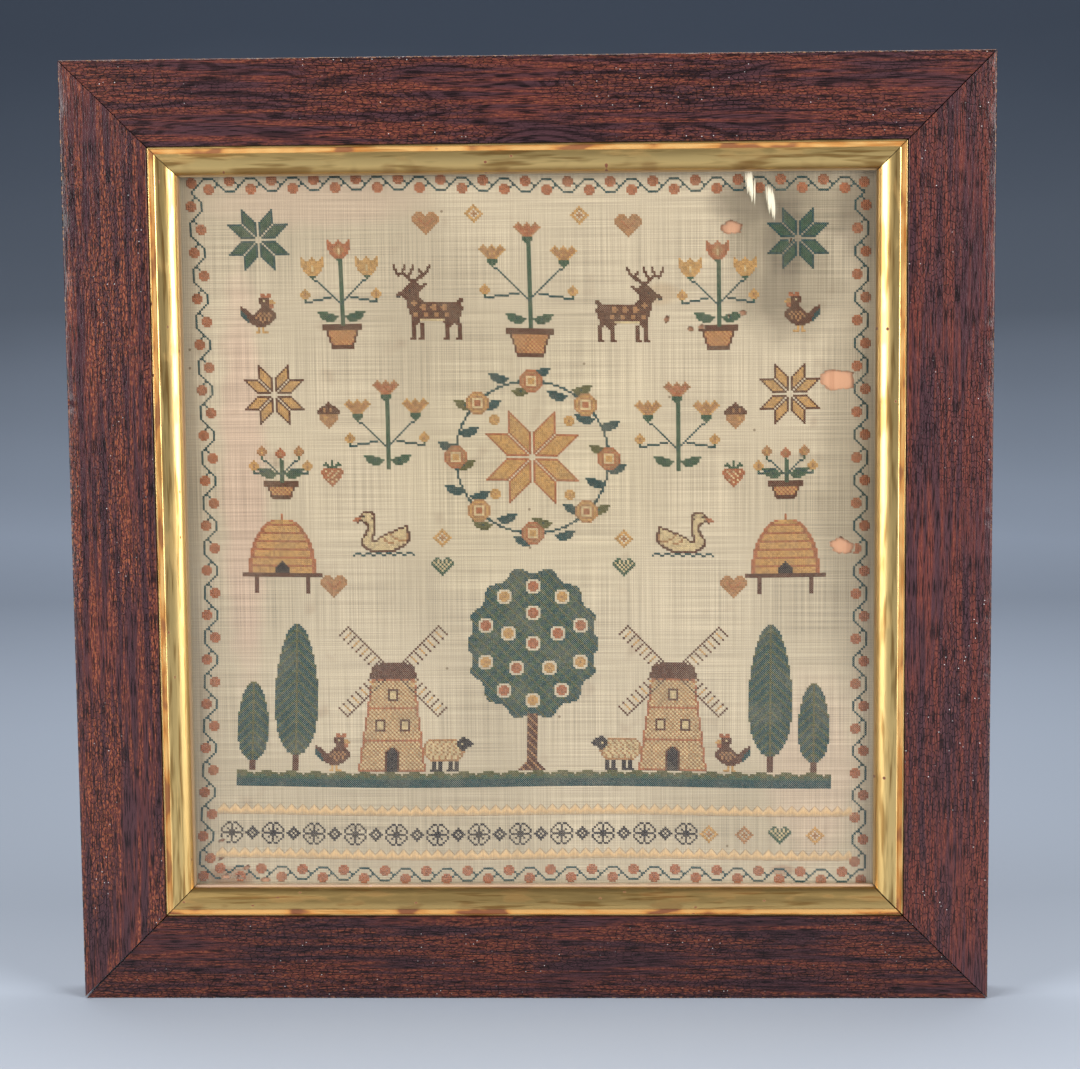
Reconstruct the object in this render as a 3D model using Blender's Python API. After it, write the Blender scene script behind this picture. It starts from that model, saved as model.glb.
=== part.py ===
"""A cross stitch sampler behind glass, in a mitred oak frame with a gilt slip.

Metres, +Z up. The frame stands on its bottom rail and faces -Y. The origin is in the
middle of its footprint, on the surface it stands on.

Depths are measured backwards from the flat front of the oak, and insets are measured
inwards from the frame's outer edge towards the middle of the picture.
"""

import math
from collections import namedtuple

import bmesh
import bpy
from mathutils import Matrix, Vector

MM = 0.001
GAP = 0.3 * MM

# The whole frame
FRAME_WIDTH = 433 * MM
FRAME_HEIGHT = 446 * MM
FRAME_DEPTH = 24 * MM

# The oak moulding: a flat face, and a lip that stands over the rabbet
OAK_FACE = 40 * MM
OUTER_ARRIS = 0.9 * MM
INNER_ARRIS = 0.45 * MM
BACK_CHAMFER = 0.5 * MM
LIP_THICKNESS = 4 * MM
RABBET_WIDTH = 6 * MM
ARRIS_STEPS = 3

# The gilt slip, a narrow moulding whose flange is held under the lip
SLIP_FACE = 14 * MM
SLIP_FLANGE = 5.5 * MM
SLIP_BACK = 9.5 * MM
TOP_FILLET_DEPTH = 1.1 * MM
TOP_FILLET_WIDTH = 0.8 * MM
STEP_DEPTH = 1.9 * MM
STEP_WIDTH = 2.2 * MM
STEP_FALL = 0.2 * MM
BEAD_DEPTH = 1.3 * MM
BEAD_WIDTH = 0.7 * MM
SIGHT_FILLET_DEPTH = 6.7 * MM
SIGHT_FILLET_WIDTH = 0.7 * MM
SLIP_EASE = 0.3 * MM
OVOLO_STEPS = 10

# The flat layers that the slip and the lip hold
GLASS_THICKNESS = 2 * MM
GLASS_INSET = 34.9 * MM
GLASS_ALPHA = 0.2
CLOTH_CLEARANCE = 0.5 * MM
CLOTH_THICKNESS = 1 * MM
CLOTH_INSET = 35.2 * MM
BOARD_THICKNESS = 6 * MM
BOARD_INSET = 34.6 * MM

# How far each mitre has opened, at the frame's outer corner and at the sight edge
Mitre = namedtuple("Mitre", "outer inner")
OAK_MITRES = {
    "top_left": Mitre(outer=0.35 * MM, inner=0.30 * MM),
    "top_right": Mitre(outer=0.50 * MM, inner=0.40 * MM),
    "bottom_right": Mitre(outer=0.55 * MM, inner=0.60 * MM),
    "bottom_left": Mitre(outer=0.95 * MM, inner=0.40 * MM),
}
SLIP_MITRES = {
    "top_left": Mitre(outer=0.30 * MM, inner=0.30 * MM),
    "top_right": Mitre(outer=0.30 * MM, inner=0.30 * MM),
    "bottom_right": Mitre(outer=0.50 * MM, inner=0.60 * MM),
    "bottom_left": Mitre(outer=0.35 * MM, inner=0.40 * MM),
}

# Each side's turn about Y from the bottom one, its length, the frame's size across it,
# and the corners at its low and high ends
Side = namedtuple("Side", "member turn length across low_corner high_corner")
SIDES = {
    "bottom": Side("rail", 0, FRAME_WIDTH, FRAME_HEIGHT, "bottom_left", "bottom_right"),
    "right": Side("stile", -90, FRAME_HEIGHT, FRAME_WIDTH, "bottom_right", "top_right"),
    "top": Side("rail", 180, FRAME_WIDTH, FRAME_HEIGHT, "top_right", "top_left"),
    "left": Side("stile", 90, FRAME_HEIGHT, FRAME_WIDTH, "top_left", "bottom_left"),
}

# The three largest moth holes in the cloth. A squareness of 2 is an ellipse and more is
# boxier, lean slides the top sideways, belly is the share of the height that lies below
# the middle, and ragged is how deep the lobes of the edge are.
Hole = namedtuple("Hole", "x z width height squareness lean belly ragged")
HOLES = {
    "high": Hole(95.6 * MM, 365.5 * MM, 10.2 * MM, 6.4 * MM, 2.2, 0.00, 0.35, 0.05),
    "middle": Hole(145.3 * MM, 295.2 * MM, 15.8 * MM, 9.4 * MM, 3.4, -0.10, 0.55, 0.04),
    "low": Hole(147.7 * MM, 216.0 * MM, 11.5 * MM, 8.2 * MM, 1.7, -0.25, 0.45, 0.06),
}
HOLE_POINTS = 28
HOLE_LOBES = 5
CUTTER_REACH = 5 * MM

Finish = namedtuple("Finish", "colour roughness metallic")
FINISHES = {
    "stained_oak": Finish((0.105, 0.036, 0.026), 0.38, 0.0),
    "gilding": Finish((0.72, 0.50, 0.19), 0.34, 0.9),
    "old_glass": Finish((0.92, 0.95, 0.93), 0.04, 0.0),
    "linen": Finish((0.62, 0.53, 0.40), 0.88, 0.0),
    "pine": Finish((0.60, 0.38, 0.25), 0.75, 0.0),
}


def new_collection(name):
    """Adds a collection to the scene."""
    collection = bpy.data.collections.new(name)
    bpy.context.scene.collection.children.link(collection)
    return collection


def make_materials():
    """Makes one Principled material for each finish."""
    made = {}
    for name, finish in FINISHES.items():
        material = bpy.data.materials.new(name)
        material.use_nodes = True
        shader = material.node_tree.nodes["Principled BSDF"]
        shader.inputs["Base Color"].default_value = (*finish.colour, 1)
        shader.inputs["Roughness"].default_value = finish.roughness
        shader.inputs["Metallic"].default_value = finish.metallic
        material.diffuse_color = (*finish.colour, 1)
        made[name] = material
    glass_shader = made["old_glass"].node_tree.nodes["Principled BSDF"]
    glass_shader.inputs["Alpha"].default_value = GLASS_ALPHA
    return made


def add_object(name, shape, collection, material=None):
    """Turns a bmesh into a named object in a collection."""
    bmesh.ops.recalc_face_normals(shape, faces=shape.faces)
    mesh = bpy.data.meshes.new(name)
    shape.to_mesh(mesh)
    shape.free()
    if material:
        mesh.materials.append(material)
    made = bpy.data.objects.new(name, mesh)
    collection.objects.link(made)
    return made


def extrude_outline(outline, travel):
    """A closed prism: a flat outline of points, swept along a vector."""
    shape = bmesh.new()
    near_face = shape.faces.new([shape.verts.new(point) for point in outline])
    swept = bmesh.ops.extrude_face_region(shape, geom=[near_face])
    far_end = [item for item in swept["geom"] if isinstance(item, bmesh.types.BMVert)]
    bmesh.ops.translate(shape, verts=far_end, vec=travel)
    return shape


def arc(centre, radii, first, last, steps):
    """Points of an ellipse between two angles in degrees, both ends included."""
    points = []
    for step in range(steps + 1):
        angle = math.radians(first + (last - first) * step / steps)
        across = centre[0] + radii[0] * math.cos(angle)
        along = centre[1] + radii[1] * math.sin(angle)
        points.append((across, along))
    return points


def oak_profile():
    """Section of the oak moulding, as (inset, depth) points."""
    lip_edge = OAK_FACE - RABBET_WIDTH
    inner_centre = (OAK_FACE - INNER_ARRIS, INNER_ARRIS)
    return [
        *arc((OUTER_ARRIS, OUTER_ARRIS), (OUTER_ARRIS, OUTER_ARRIS), 180, 270, ARRIS_STEPS),
        *arc(inner_centre, (INNER_ARRIS, INNER_ARRIS), 270, 360, ARRIS_STEPS),
        (OAK_FACE, LIP_THICKNESS),
        (lip_edge, LIP_THICKNESS),
        (lip_edge, FRAME_DEPTH),
        (BACK_CHAMFER, FRAME_DEPTH),
        (0, FRAME_DEPTH - BACK_CHAMFER),
    ]


def slip_profile():
    """Section of the slip: fillet, sunk step, bead, long ovolo and sight fillet."""
    flange_edge = OAK_FACE - SLIP_FLANGE
    flange_depth = LIP_THICKNESS + GAP
    fillet_start = OAK_FACE + GAP
    fillet_end = fillet_start + TOP_FILLET_WIDTH
    step_end = fillet_end + STEP_WIDTH
    bead_start = step_end + BEAD_WIDTH / 2
    ovolo_start = step_end + BEAD_WIDTH
    sight_edge = OAK_FACE + SLIP_FACE
    ovolo_end = sight_edge - SIGHT_FILLET_WIDTH
    ovolo_depth = SIGHT_FILLET_DEPTH - SLIP_EASE
    fall = ovolo_depth - BEAD_DEPTH
    return [
        (flange_edge, flange_depth),
        (fillet_start, flange_depth),
        (fillet_start, TOP_FILLET_DEPTH),
        (fillet_end, TOP_FILLET_DEPTH),
        (fillet_end + SLIP_EASE, STEP_DEPTH - STEP_FALL),
        (step_end, STEP_DEPTH),
        (bead_start, BEAD_DEPTH),
        *arc((ovolo_start, ovolo_depth), (ovolo_end - ovolo_start, fall), 270, 360, OVOLO_STEPS),
        (ovolo_end, SIGHT_FILLET_DEPTH),
        (sight_edge, SIGHT_FILLET_DEPTH),
        (sight_edge, SLIP_BACK),
        (flange_edge, SLIP_BACK),
    ]


def saw_mitre(shape, side, run_end, mitre):
    """Cuts one end off a moulding along its mitre and closes the cut.

    run_end is -1 at the low end and +1 at the high end. Half of the joint's opening
    comes off each of the two mouldings that meet there.
    """
    sight = OAK_FACE + SLIP_FACE
    end, edge = side.length / 2, -side.across / 2
    outer = Vector((run_end * (end - mitre.outer / math.sqrt(2)), 0, edge))
    inner = Vector((run_end * (end - sight - mitre.inner / math.sqrt(2)), 0, edge + sight))
    along = (inner - outer).normalized()
    cut = bmesh.ops.bisect_plane(
        shape,
        geom=shape.verts[:] + shape.edges[:] + shape.faces[:],
        plane_co=outer,
        plane_no=(run_end * along.z, 0, abs(along.x)),
        clear_outer=True,
    )
    rim = [item for item in cut["geom_cut"] if isinstance(item, bmesh.types.BMEdge)]
    bmesh.ops.contextual_create(shape, geom=rim)


def add_moulding(name, profile, side, mitres, collection, material):
    """Runs a section along one side of the frame and mitres both of its ends."""
    start, edge, front = -side.length / 2, -side.across / 2, -FRAME_DEPTH / 2
    section = [(start, front + depth, edge + inset) for inset, depth in profile]
    shape = extrude_outline(section, (side.length, 0, 0))
    saw_mitre(shape, side, -1, mitres[side.low_corner])
    saw_mitre(shape, side, 1, mitres[side.high_corner])
    made = add_object(name, shape, collection, material)
    made.location = (0, 0, FRAME_HEIGHT / 2)
    made.rotation_euler = (0, math.radians(side.turn), 0)
    return made


def add_panel(name, inset, front, thickness, collection, material):
    """Adds a flat rectangular layer of the picture, held in the rabbet."""
    size = (FRAME_WIDTH - 2 * inset, thickness, FRAME_HEIGHT - 2 * inset)
    shape = bmesh.new()
    bmesh.ops.create_cube(shape, size=1, matrix=Matrix.Diagonal((*size, 1)))
    made = add_object(name, shape, collection, material)
    made.location = (0, front + thickness / 2 - FRAME_DEPTH / 2, FRAME_HEIGHT / 2)
    return made


def hole_outline(hole):
    """Points round a moth hole, as (x, z) from the frame's origin."""
    points = []
    for step in range(HOLE_POINTS):
        angle = 2 * math.pi * step / HOLE_POINTS
        across, up = math.cos(angle), math.sin(angle)
        lobe = 1 + hole.ragged * math.cos(HOLE_LOBES * angle + hole.width / MM)
        half_height = hole.height * (hole.belly if up < 0 else 1 - hole.belly)
        x = lobe * math.copysign(abs(across) ** (2 / hole.squareness), across) * hole.width / 2
        z = lobe * math.copysign(abs(up) ** (2 / hole.squareness), up) * half_height
        points.append((hole.x + x + hole.lean * z, hole.z + z))
    return points


def eat_hole(cloth, name, hole, cutters):
    """Cuts one moth hole right through the cloth."""
    near = cloth.location.y - CUTTER_REACH
    outline = [(x, near, z) for x, z in hole_outline(hole)]
    cutter = add_object(name, extrude_outline(outline, (0, 2 * CUTTER_REACH, 0)), cutters)
    cutter.hide_render = True
    cutter.display_type = "WIRE"
    bite = cloth.modifiers.new(name, "BOOLEAN")
    bite.operation = "DIFFERENCE"
    bite.object = cutter


def build():
    """Clears the scene and makes the framed sampler."""
    for old in list(bpy.data.objects):
        bpy.data.objects.remove(old)
    parts = new_collection("framed_sampler")
    cutters = new_collection("cutters")
    materials = make_materials()

    for place, side in SIDES.items():
        oak_name, slip_name = f"oak_{side.member}_{place}", f"gilt_slip_{place}"
        add_moulding(oak_name, oak_profile(), side, OAK_MITRES, parts, materials["stained_oak"])
        add_moulding(slip_name, slip_profile(), side, SLIP_MITRES, parts, materials["gilding"])

    glass_front = SLIP_BACK + GAP
    cloth_front = glass_front + GLASS_THICKNESS + CLOTH_CLEARANCE
    board_front = cloth_front + CLOTH_THICKNESS + GAP
    linen, pine = materials["linen"], materials["pine"]
    add_panel("glass", GLASS_INSET, glass_front, GLASS_THICKNESS, parts, materials["old_glass"])
    cloth = add_panel("sampler_cloth", CLOTH_INSET, cloth_front, CLOTH_THICKNESS, parts, linen)
    for place, hole in HOLES.items():
        eat_hole(cloth, "moth_hole_" + place, hole, cutters)
    add_panel("backboard", BOARD_INSET, board_front, BOARD_THICKNESS, parts, pine)


build()
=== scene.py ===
"""Looks of a cross stitch sampler behind glass, in stained oak with a gilt slip.

Metres, in the frame's own axes: +Z is up, the picture faces -Y, and the origin is in the
middle of the bottom rail's footprint. Depths run backwards from the oak's flat front, and
insets run inwards from the frame's outer edge. SIGHT is the inset of the sight edge, and an
edge longer than the LENGTHWISE share of a shape runs along it.
"""

import logging
import math
import random
from collections.abc import Iterator
from dataclasses import dataclass, field
from enum import Enum

import bmesh
import bpy
from mathutils import Matrix, Vector, noise

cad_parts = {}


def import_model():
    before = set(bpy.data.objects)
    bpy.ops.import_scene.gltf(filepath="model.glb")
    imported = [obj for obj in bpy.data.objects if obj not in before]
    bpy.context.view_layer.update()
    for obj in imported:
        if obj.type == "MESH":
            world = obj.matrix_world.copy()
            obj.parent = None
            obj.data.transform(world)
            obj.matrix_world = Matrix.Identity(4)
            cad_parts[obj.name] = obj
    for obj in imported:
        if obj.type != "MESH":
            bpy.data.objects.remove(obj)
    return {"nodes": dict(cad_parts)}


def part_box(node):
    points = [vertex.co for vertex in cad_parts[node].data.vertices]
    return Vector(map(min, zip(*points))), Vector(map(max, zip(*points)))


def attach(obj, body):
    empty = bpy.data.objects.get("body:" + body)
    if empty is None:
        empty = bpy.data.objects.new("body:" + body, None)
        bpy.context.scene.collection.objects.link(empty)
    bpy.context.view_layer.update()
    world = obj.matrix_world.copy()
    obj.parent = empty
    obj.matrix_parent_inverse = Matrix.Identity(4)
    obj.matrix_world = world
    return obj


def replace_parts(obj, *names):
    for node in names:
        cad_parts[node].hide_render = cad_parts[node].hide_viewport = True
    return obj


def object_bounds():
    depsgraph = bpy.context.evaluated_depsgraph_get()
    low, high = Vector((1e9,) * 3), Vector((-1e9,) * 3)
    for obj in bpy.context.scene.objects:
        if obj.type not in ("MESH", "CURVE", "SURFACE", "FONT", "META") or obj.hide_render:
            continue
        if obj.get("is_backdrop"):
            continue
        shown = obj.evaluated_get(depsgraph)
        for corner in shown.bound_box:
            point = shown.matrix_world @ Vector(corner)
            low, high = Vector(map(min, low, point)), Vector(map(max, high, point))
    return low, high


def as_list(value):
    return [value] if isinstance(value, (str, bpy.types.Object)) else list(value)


log = logging.getLogger("sampler")

MM = 0.001
BODY = "root"
GAP = 0.3 * MM
SIGHT = 54 * MM
LENGTHWISE = 0.9
SEED = 7

Colour = tuple[float, float, float, float]
Place = tuple[float, float, float]
Point = tuple[float, float]
Span = tuple[float, float]


def srgb(red: int, green: int, blue: int) -> Colour:
    """Turns a screen colour into the linear values that shaders use.

    Args:
        red: Red from 0 to 255.
        green: Green from 0 to 255.
        blue: Blue from 0 to 255.

    Returns:
        The linear colour with full alpha.
    """
    linear = (((part / 255 + 0.055) / 1.055) ** 2.4 for part in (red, green, blue))
    return (*linear, 1.0)


class Signal:
    """A shader socket that joins in Python arithmetic by adding Math nodes."""

    def __init__(self, recipe: "Recipe", socket: bpy.types.NodeSocket) -> None:
        """Keeps the recipe that new nodes go to.

        Args:
            recipe: The material's recipe.
            socket: An output socket of one of its nodes.
        """
        self.recipe = recipe
        self.socket = socket

    def maths(self, operation: str, *operands: "Signal | float") -> "Signal":
        """Adds one Math node.

        Args:
            operation: Blender's name of the operation.
            operands: The node's inputs in order.

        Returns:
            The node's result.
        """
        return self.recipe.node("ShaderNodeMath", {"operation": operation}, dict(enumerate(operands)))

    def __add__(self, other: "Signal | float") -> "Signal":
        """Adds another value."""
        return self.maths("ADD", self, other)

    def __sub__(self, other: "Signal | float") -> "Signal":
        """Takes another value away."""
        return self.maths("SUBTRACT", self, other)

    def __rsub__(self, other: float) -> "Signal":
        """Takes this away from a number."""
        return self.maths("SUBTRACT", other, self)

    def __mul__(self, other: "Signal | float") -> "Signal":
        """Multiplies by another value."""
        return self.maths("MULTIPLY", self, other)

    def __truediv__(self, other: "Signal | float") -> "Signal":
        """Divides by another value."""
        return self.maths("DIVIDE", self, other)

    def __abs__(self) -> "Signal":
        """Drops the sign."""
        return self.maths("ABSOLUTE", self)

    __radd__ = __add__
    __rmul__ = __mul__

    def least(self, other: "Signal | float") -> "Signal":
        """Gives the smaller of two values."""
        return self.maths("MINIMUM", self, other)

    def most(self, other: "Signal | float") -> "Signal":
        """Gives the larger of two values."""
        return self.maths("MAXIMUM", self, other)

    def sine(self) -> "Signal":
        """Gives the sine of an angle in radians."""
        return self.maths("SINE", self)

    def ease(self, low: float, high: float, top: float = 1) -> "Signal":
        """Goes smoothly from 0 at low to its top at high.

        Args:
            low: Where it starts to rise.
            high: Where it reaches its top. It may lie under low, for a falling curve.
            top: The highest value.

        Returns:
            The eased value.
        """
        ends = {"Value": self, "From Min": low, "From Max": high, "To Max": top}
        return self.recipe.node("ShaderNodeMapRange", {"interpolation_type": "SMOOTHSTEP"}, ends)


class Recipe:
    """One material, built up as expressions on shader sockets."""

    def __init__(self, name: str) -> None:
        """Starts an empty material.

        Args:
            name: The material's name.
        """
        self.material = bpy.data.materials.new(name)
        self.material.use_nodes = True
        self.tree = self.material.node_tree
        self.tree.nodes.clear()
        self.x, self.y, self.z = self.split(self.node("ShaderNodeTexCoord", output="Object"))

    def node(
        self,
        kind: str,
        settings: dict[str, object] | None = None,
        inputs: dict[int | str, object] | None = None,
        output: int | str = 0,
    ) -> Signal:
        """Adds any node.

        Args:
            kind: The node's type.
            settings: Its properties, with "stops" for a colour ramp's (position, colour) pairs.
            inputs: A signal or a plain value for each socket, by its name or its number.
            output: The socket that carries on.

        Returns:
            That output socket.
        """
        made = self.tree.nodes.new(kind)
        for key, value in (settings or {}).items():
            if key == "stops":
                self._set_stops(made.color_ramp, value)
            else:
                setattr(made, key, value)
        for key, value in (inputs or {}).items():
            if isinstance(value, Signal):
                self.tree.links.new(value.socket, made.inputs[key])
            else:
                made.inputs[key].default_value = value
        return Signal(self, made.outputs[output])

    @staticmethod
    def _set_stops(ramp: bpy.types.ColorRamp, stops: list[tuple[float, Colour]]) -> None:
        """Sets a ramp's stops.

        Args:
            ramp: The ramp, which has two stops at first.
            stops: Pairs of position and colour, two or more.
        """
        for _ in range(len(stops) - 2):
            ramp.elements.new(0.5)
        for element, (position, colour) in zip(ramp.elements, stops, strict=True):
            element.position = position
            element.color = colour

    def split(self, vector: Signal) -> tuple[Signal, Signal, Signal]:
        """Takes a vector apart.

        Args:
            vector: The vector.

        Returns:
            Its x, y and z.
        """
        parts = self.node("ShaderNodeSeparateXYZ", {}, {0: vector}).socket.node.outputs
        return Signal(self, parts[0]), Signal(self, parts[1]), Signal(self, parts[2])

    def lay(self, grain: "Grain") -> Signal:
        """Lays a pattern's plane over the object, so that it also runs round the edges.

        Args:
            grain: Which way the pattern runs.

        Returns:
            The place along the pattern, and the place across it with the depth added.
        """
        along, across = (self.x, self.z) if grain is Grain.LEVEL else (self.z, self.x)
        return self.node("ShaderNodeCombineXYZ", {}, {0: along, 1: across + self.y})

    def pitched(self, plane: Signal, repeats: Point, seed: float) -> Signal:
        """Scales a pattern's plane.

        Args:
            plane: The plane.
            repeats: Repeats a metre along the pattern and across it.
            seed: Where the pattern starts.

        Returns:
            The scaled plane.
        """
        inputs = {"Vector": plane, "Location": (seed, seed * 0.7, 0), "Scale": (*repeats, 1)}
        return self.node("ShaderNodeMapping", {}, inputs)

    def noise(
        self, plane: Signal, repeats: Point, detail: float = 2, rough: float = 0.5, seed: float = 0
    ) -> Signal:
        """Cloudy noise from 0 to 1.

        Args:
            plane: The pattern's plane.
            repeats: Blobs a metre along the pattern and across it.
            detail: How many finer layers are added.
            rough: How strong those layers are.
            seed: Where the noise starts.

        Returns:
            The noise.
        """
        place = self.pitched(plane, repeats, seed)
        inputs = {"Vector": place, "Scale": 1, "Detail": detail, "Roughness": rough}
        return self.node("ShaderNodeTexNoise", {"noise_dimensions": "2D"}, inputs)

    def flecks(self, plane: Signal, repeats: Point, size: float, share: float, seed: float = 0) -> Signal:
        """Small dots in some of a grid's cells.

        Args:
            plane: The pattern's plane.
            repeats: Cells a metre along the pattern and across it.
            size: A dot's radius in cells.
            share: The share of the cells that have a dot.
            seed: Where the grid starts.

        Returns:
            A mask, 1 in the dots.
        """
        place = self.pitched(plane, repeats, seed)
        settings = {"voronoi_dimensions": "2D"}
        distance = self.node("ShaderNodeTexVoronoi", settings, {"Vector": place, "Scale": 1})
        chance = self.split(Signal(self, distance.socket.node.outputs["Color"]))[0]
        return distance.ease(size, size * 0.6) * chance.ease(1 - share, 1 - share + 0.02)

    def cracks(self, plane: Signal, repeats: Point, width: float, seed: float = 0) -> Signal:
        """A network of fine cracks.

        Args:
            plane: The pattern's plane.
            repeats: Cells a metre along the pattern and across it.
            width: Half of a crack's width in cells.
            seed: Where the network starts.

        Returns:
            A mask, 1 in the cracks.
        """
        place = self.pitched(plane, repeats, seed)
        settings = {"voronoi_dimensions": "2D", "feature": "DISTANCE_TO_EDGE"}
        distance = self.node("ShaderNodeTexVoronoi", settings, {"Vector": place, "Scale": 1})
        return distance.ease(width, width * 0.2)

    def spot(self, plane: Signal, middle: Point, reach: Point, turn: float = 0) -> Signal:
        """An elliptical spot, brightest in its middle.

        Args:
            plane: The pattern's plane.
            middle: The spot's middle.
            reach: How far it reaches to the side and up.
            turn: How far it leans, in radians.

        Returns:
            The spot, 1 in the middle and 0 from its edge on.
        """
        inputs = {"Vector": plane, "Location": (*middle, 0), "Rotation": (0, 0, turn), "Scale": (*reach, 1)}
        inside = self.node("ShaderNodeMapping", {"vector_type": "TEXTURE"}, inputs)
        return self.node("ShaderNodeTexGradient", {"gradient_type": "SPHERICAL"}, {0: inside}, output="Fac")

    def blend(self, amount: Signal, first: Signal | Colour, second: Signal | Colour) -> Signal:
        """Mixes two colours.

        Args:
            amount: 0 for the first and 1 for the second.
            first: The first colour.
            second: The second colour.

        Returns:
            The mixed colour.
        """
        settings = {"data_type": "RGBA", "clamp_factor": True}
        return self.node("ShaderNodeMix", settings, {0: amount, 6: first, 7: second}, output=2)

    def darken(self, amount: Signal, colour: Signal) -> Signal:
        """Multiplies a colour by a grey.

        Args:
            amount: What the colour is multiplied by.
            colour: The colour.

        Returns:
            The darker colour.
        """
        return self.node("ShaderNodeVectorMath", {"operation": "SCALE"}, {0: colour, "Scale": amount})

    def bump(self, height: Signal, depth: float, strength: float) -> Signal:
        """Turns a height into a shading normal.

        Args:
            height: The height from 0 to 1.
            depth: How many metres 1 stands for.
            strength: How much of it shows.

        Returns:
            The normal.
        """
        inputs = {"Strength": strength, "Distance": depth, "Height": height}
        return self.node("ShaderNodeBump", {}, inputs)

    def principled(self, **sockets: Signal | Colour | float) -> Signal:
        """Adds a Principled shader.

        Args:
            sockets: Its inputs, with underscores for the spaces in their names.

        Returns:
            The shader.
        """
        inputs = {name.replace("_", " "): value for name, value in sockets.items()}
        return self.node("ShaderNodeBsdfPrincipled", {}, inputs)

    def finish(self, surface: Signal) -> bpy.types.Material:
        """Joins the shader to the output.

        Args:
            surface: The finished shader.

        Returns:
            The material.
        """
        end = self.tree.nodes.new("ShaderNodeOutputMaterial")
        self.tree.links.new(surface.socket, end.inputs["Surface"])
        return self.material


@dataclass(frozen=True)
class Outline:
    """The outside of the frame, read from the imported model."""

    width: float
    height: float
    depth: float

    @classmethod
    def read(cls) -> "Outline":
        """Measures the frame as it was loaded."""
        low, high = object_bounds()
        return cls(high.x - low.x, high.z - low.z, high.y - low.y)

    def inset(self, recipe: Recipe) -> Signal:
        """How far a point lies in from the frame's outer edge, for a finish.

        Args:
            recipe: The finish's recipe.

        Returns:
            The inset in millimetres.
        """
        from_side = self.width / 2 - abs(recipe.x)
        from_end = self.height / 2 - abs(recipe.z - self.height / 2)
        return from_side.least(from_end) / MM


class Grain(Enum):
    """Which way a length of wood runs."""

    LEVEL = "level"
    UPRIGHT = "upright"


@dataclass(frozen=True)
class StainedOak:
    """Open-grained oak under a dark red stain and an old crazed varnish.

    Embers and figure say how much of the ember colour glows through and how dark the growth
    lines are. The third number is a painted light and shade: it sets how light the whole length
    is painted, for the wood is alike on all four sides and each side is made lighter or darker.
    Repeats are per metre along the grain and across it, and the spans are millimetres in from
    the edge or back from the front.
    """

    name: str
    outline: Outline
    grain: Grain
    seed: float
    embers: float
    figure: float
    tone: float
    plum: Colour = srgb(66, 42, 46)
    russet: Colour = srgb(86, 42, 36)
    ember: Colour = srgb(142, 80, 52)
    soot: Colour = srgb(14, 9, 10)
    bare: Colour = srgb(150, 110, 74)
    aged: Colour = srgb(96, 62, 40)
    # Painted highlight: the near-white of the varnish's tiny specular glints.
    dust: Colour = srgb(190, 186, 184)
    streak_repeats: Point = (14, 330)
    patch_repeats: Point = (13, 46)
    crazing_repeats: Point = (430, 1150)
    pore_repeats: Point = (95, 1900)
    crack_repeats: Point = (300, 820)
    crack_width: float = 0.11
    speck_repeats: Point = (560, 560)
    line_repeats: float = 1150
    line_wander: float = 52
    arris: Span = (0.9, 0.35)
    front_edge: Span = (1.3, 0.5)
    bare_back: Span = (23.2, 23.7)
    rabbet_wall: Span = (33, 33.6)
    behind_lip: Span = (3.5, 4.5)
    varnish_relief: float = 0.17 * MM
    varnish_shine: float = 0.26

    def make(self) -> bpy.types.Material:
        """Mixes the finish.

        Returns:
            The material.
        """
        r = Recipe(self.name)
        plane = r.lay(self.grain)
        streaks = r.noise(plane, self.streak_repeats, 2, 0.6, self.seed)
        patches = r.noise(plane, self.patch_repeats, 1, 0.5, self.seed)
        crazing = r.noise(plane, self.crazing_repeats, 2, 0.65, self.seed)
        pores = r.noise(plane, self.pore_repeats, 1, 0.5, self.seed)
        cracks = r.cracks(plane, self.crack_repeats, self.crack_width, self.seed)
        across = (r.z if self.grain is Grain.LEVEL else r.x) + r.y
        rings = (across * self.line_repeats + patches * self.line_wander).sine()
        lines = rings.ease(0.1, 0.95, self.figure)
        depth = r.y / MM + self.outline.depth / MM / 2
        inset = self.outline.inset(r)

        colour = r.blend(streaks.ease(0.35, 0.7), self.plum, self.russet)
        colour = r.blend(lines * streaks.ease(0.62, 0.4), colour, self.soot)
        glow = crazing.ease(0.46, 0.6) * (patches * 0.35 + streaks * 0.65).ease(0.4, 0.6)
        colour = r.blend(glow * self.embers, colour, self.ember)
        colour = r.blend(pores.ease(0.5, 0.66) * 0.85, colour, self.soot)
        colour = r.blend(cracks * patches.ease(0.25, 0.55) * 0.9, colour, self.soot)
        # Painted highlight: small white specks, in patches, stand in for the glints of the rough varnish.
        painted_glints = r.flecks(plane, self.speck_repeats, 0.15, 0.035, self.seed) * patches.ease(0.42, 0.62)
        colour = r.blend(painted_glints, colour, self.dust)
        # Painted light and shade: the whole length is darkened by its side's own amount, varied by the
        # streaks.
        colour = r.darken(streaks * 0.3 + self.tone, colour)
        worn = inset.ease(*self.arris) * depth.ease(*self.front_edge) * crazing.ease(0.55, 0.64)
        wood = r.blend((streaks * 0.5 + pores * 0.5).ease(0.36, 0.62), self.bare, self.aged)
        colour = r.blend(worn, colour, wood)
        rabbet = inset.ease(*self.rabbet_wall) * depth.ease(*self.behind_lip)
        unstained = depth.ease(*self.bare_back).most(rabbet)
        colour = r.blend(unstained * 0.9, colour, wood)
        rough = 0.22 + streaks * 0.14 + unstained * 0.3 + worn * 0.2
        normal = r.bump(crazing, self.varnish_relief, 0.9)
        shader = r.principled(
            Base_Color=colour, Roughness=rough, Normal=normal, Specular_IOR_Level=self.varnish_shine
        )
        return r.finish(shader)


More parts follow.
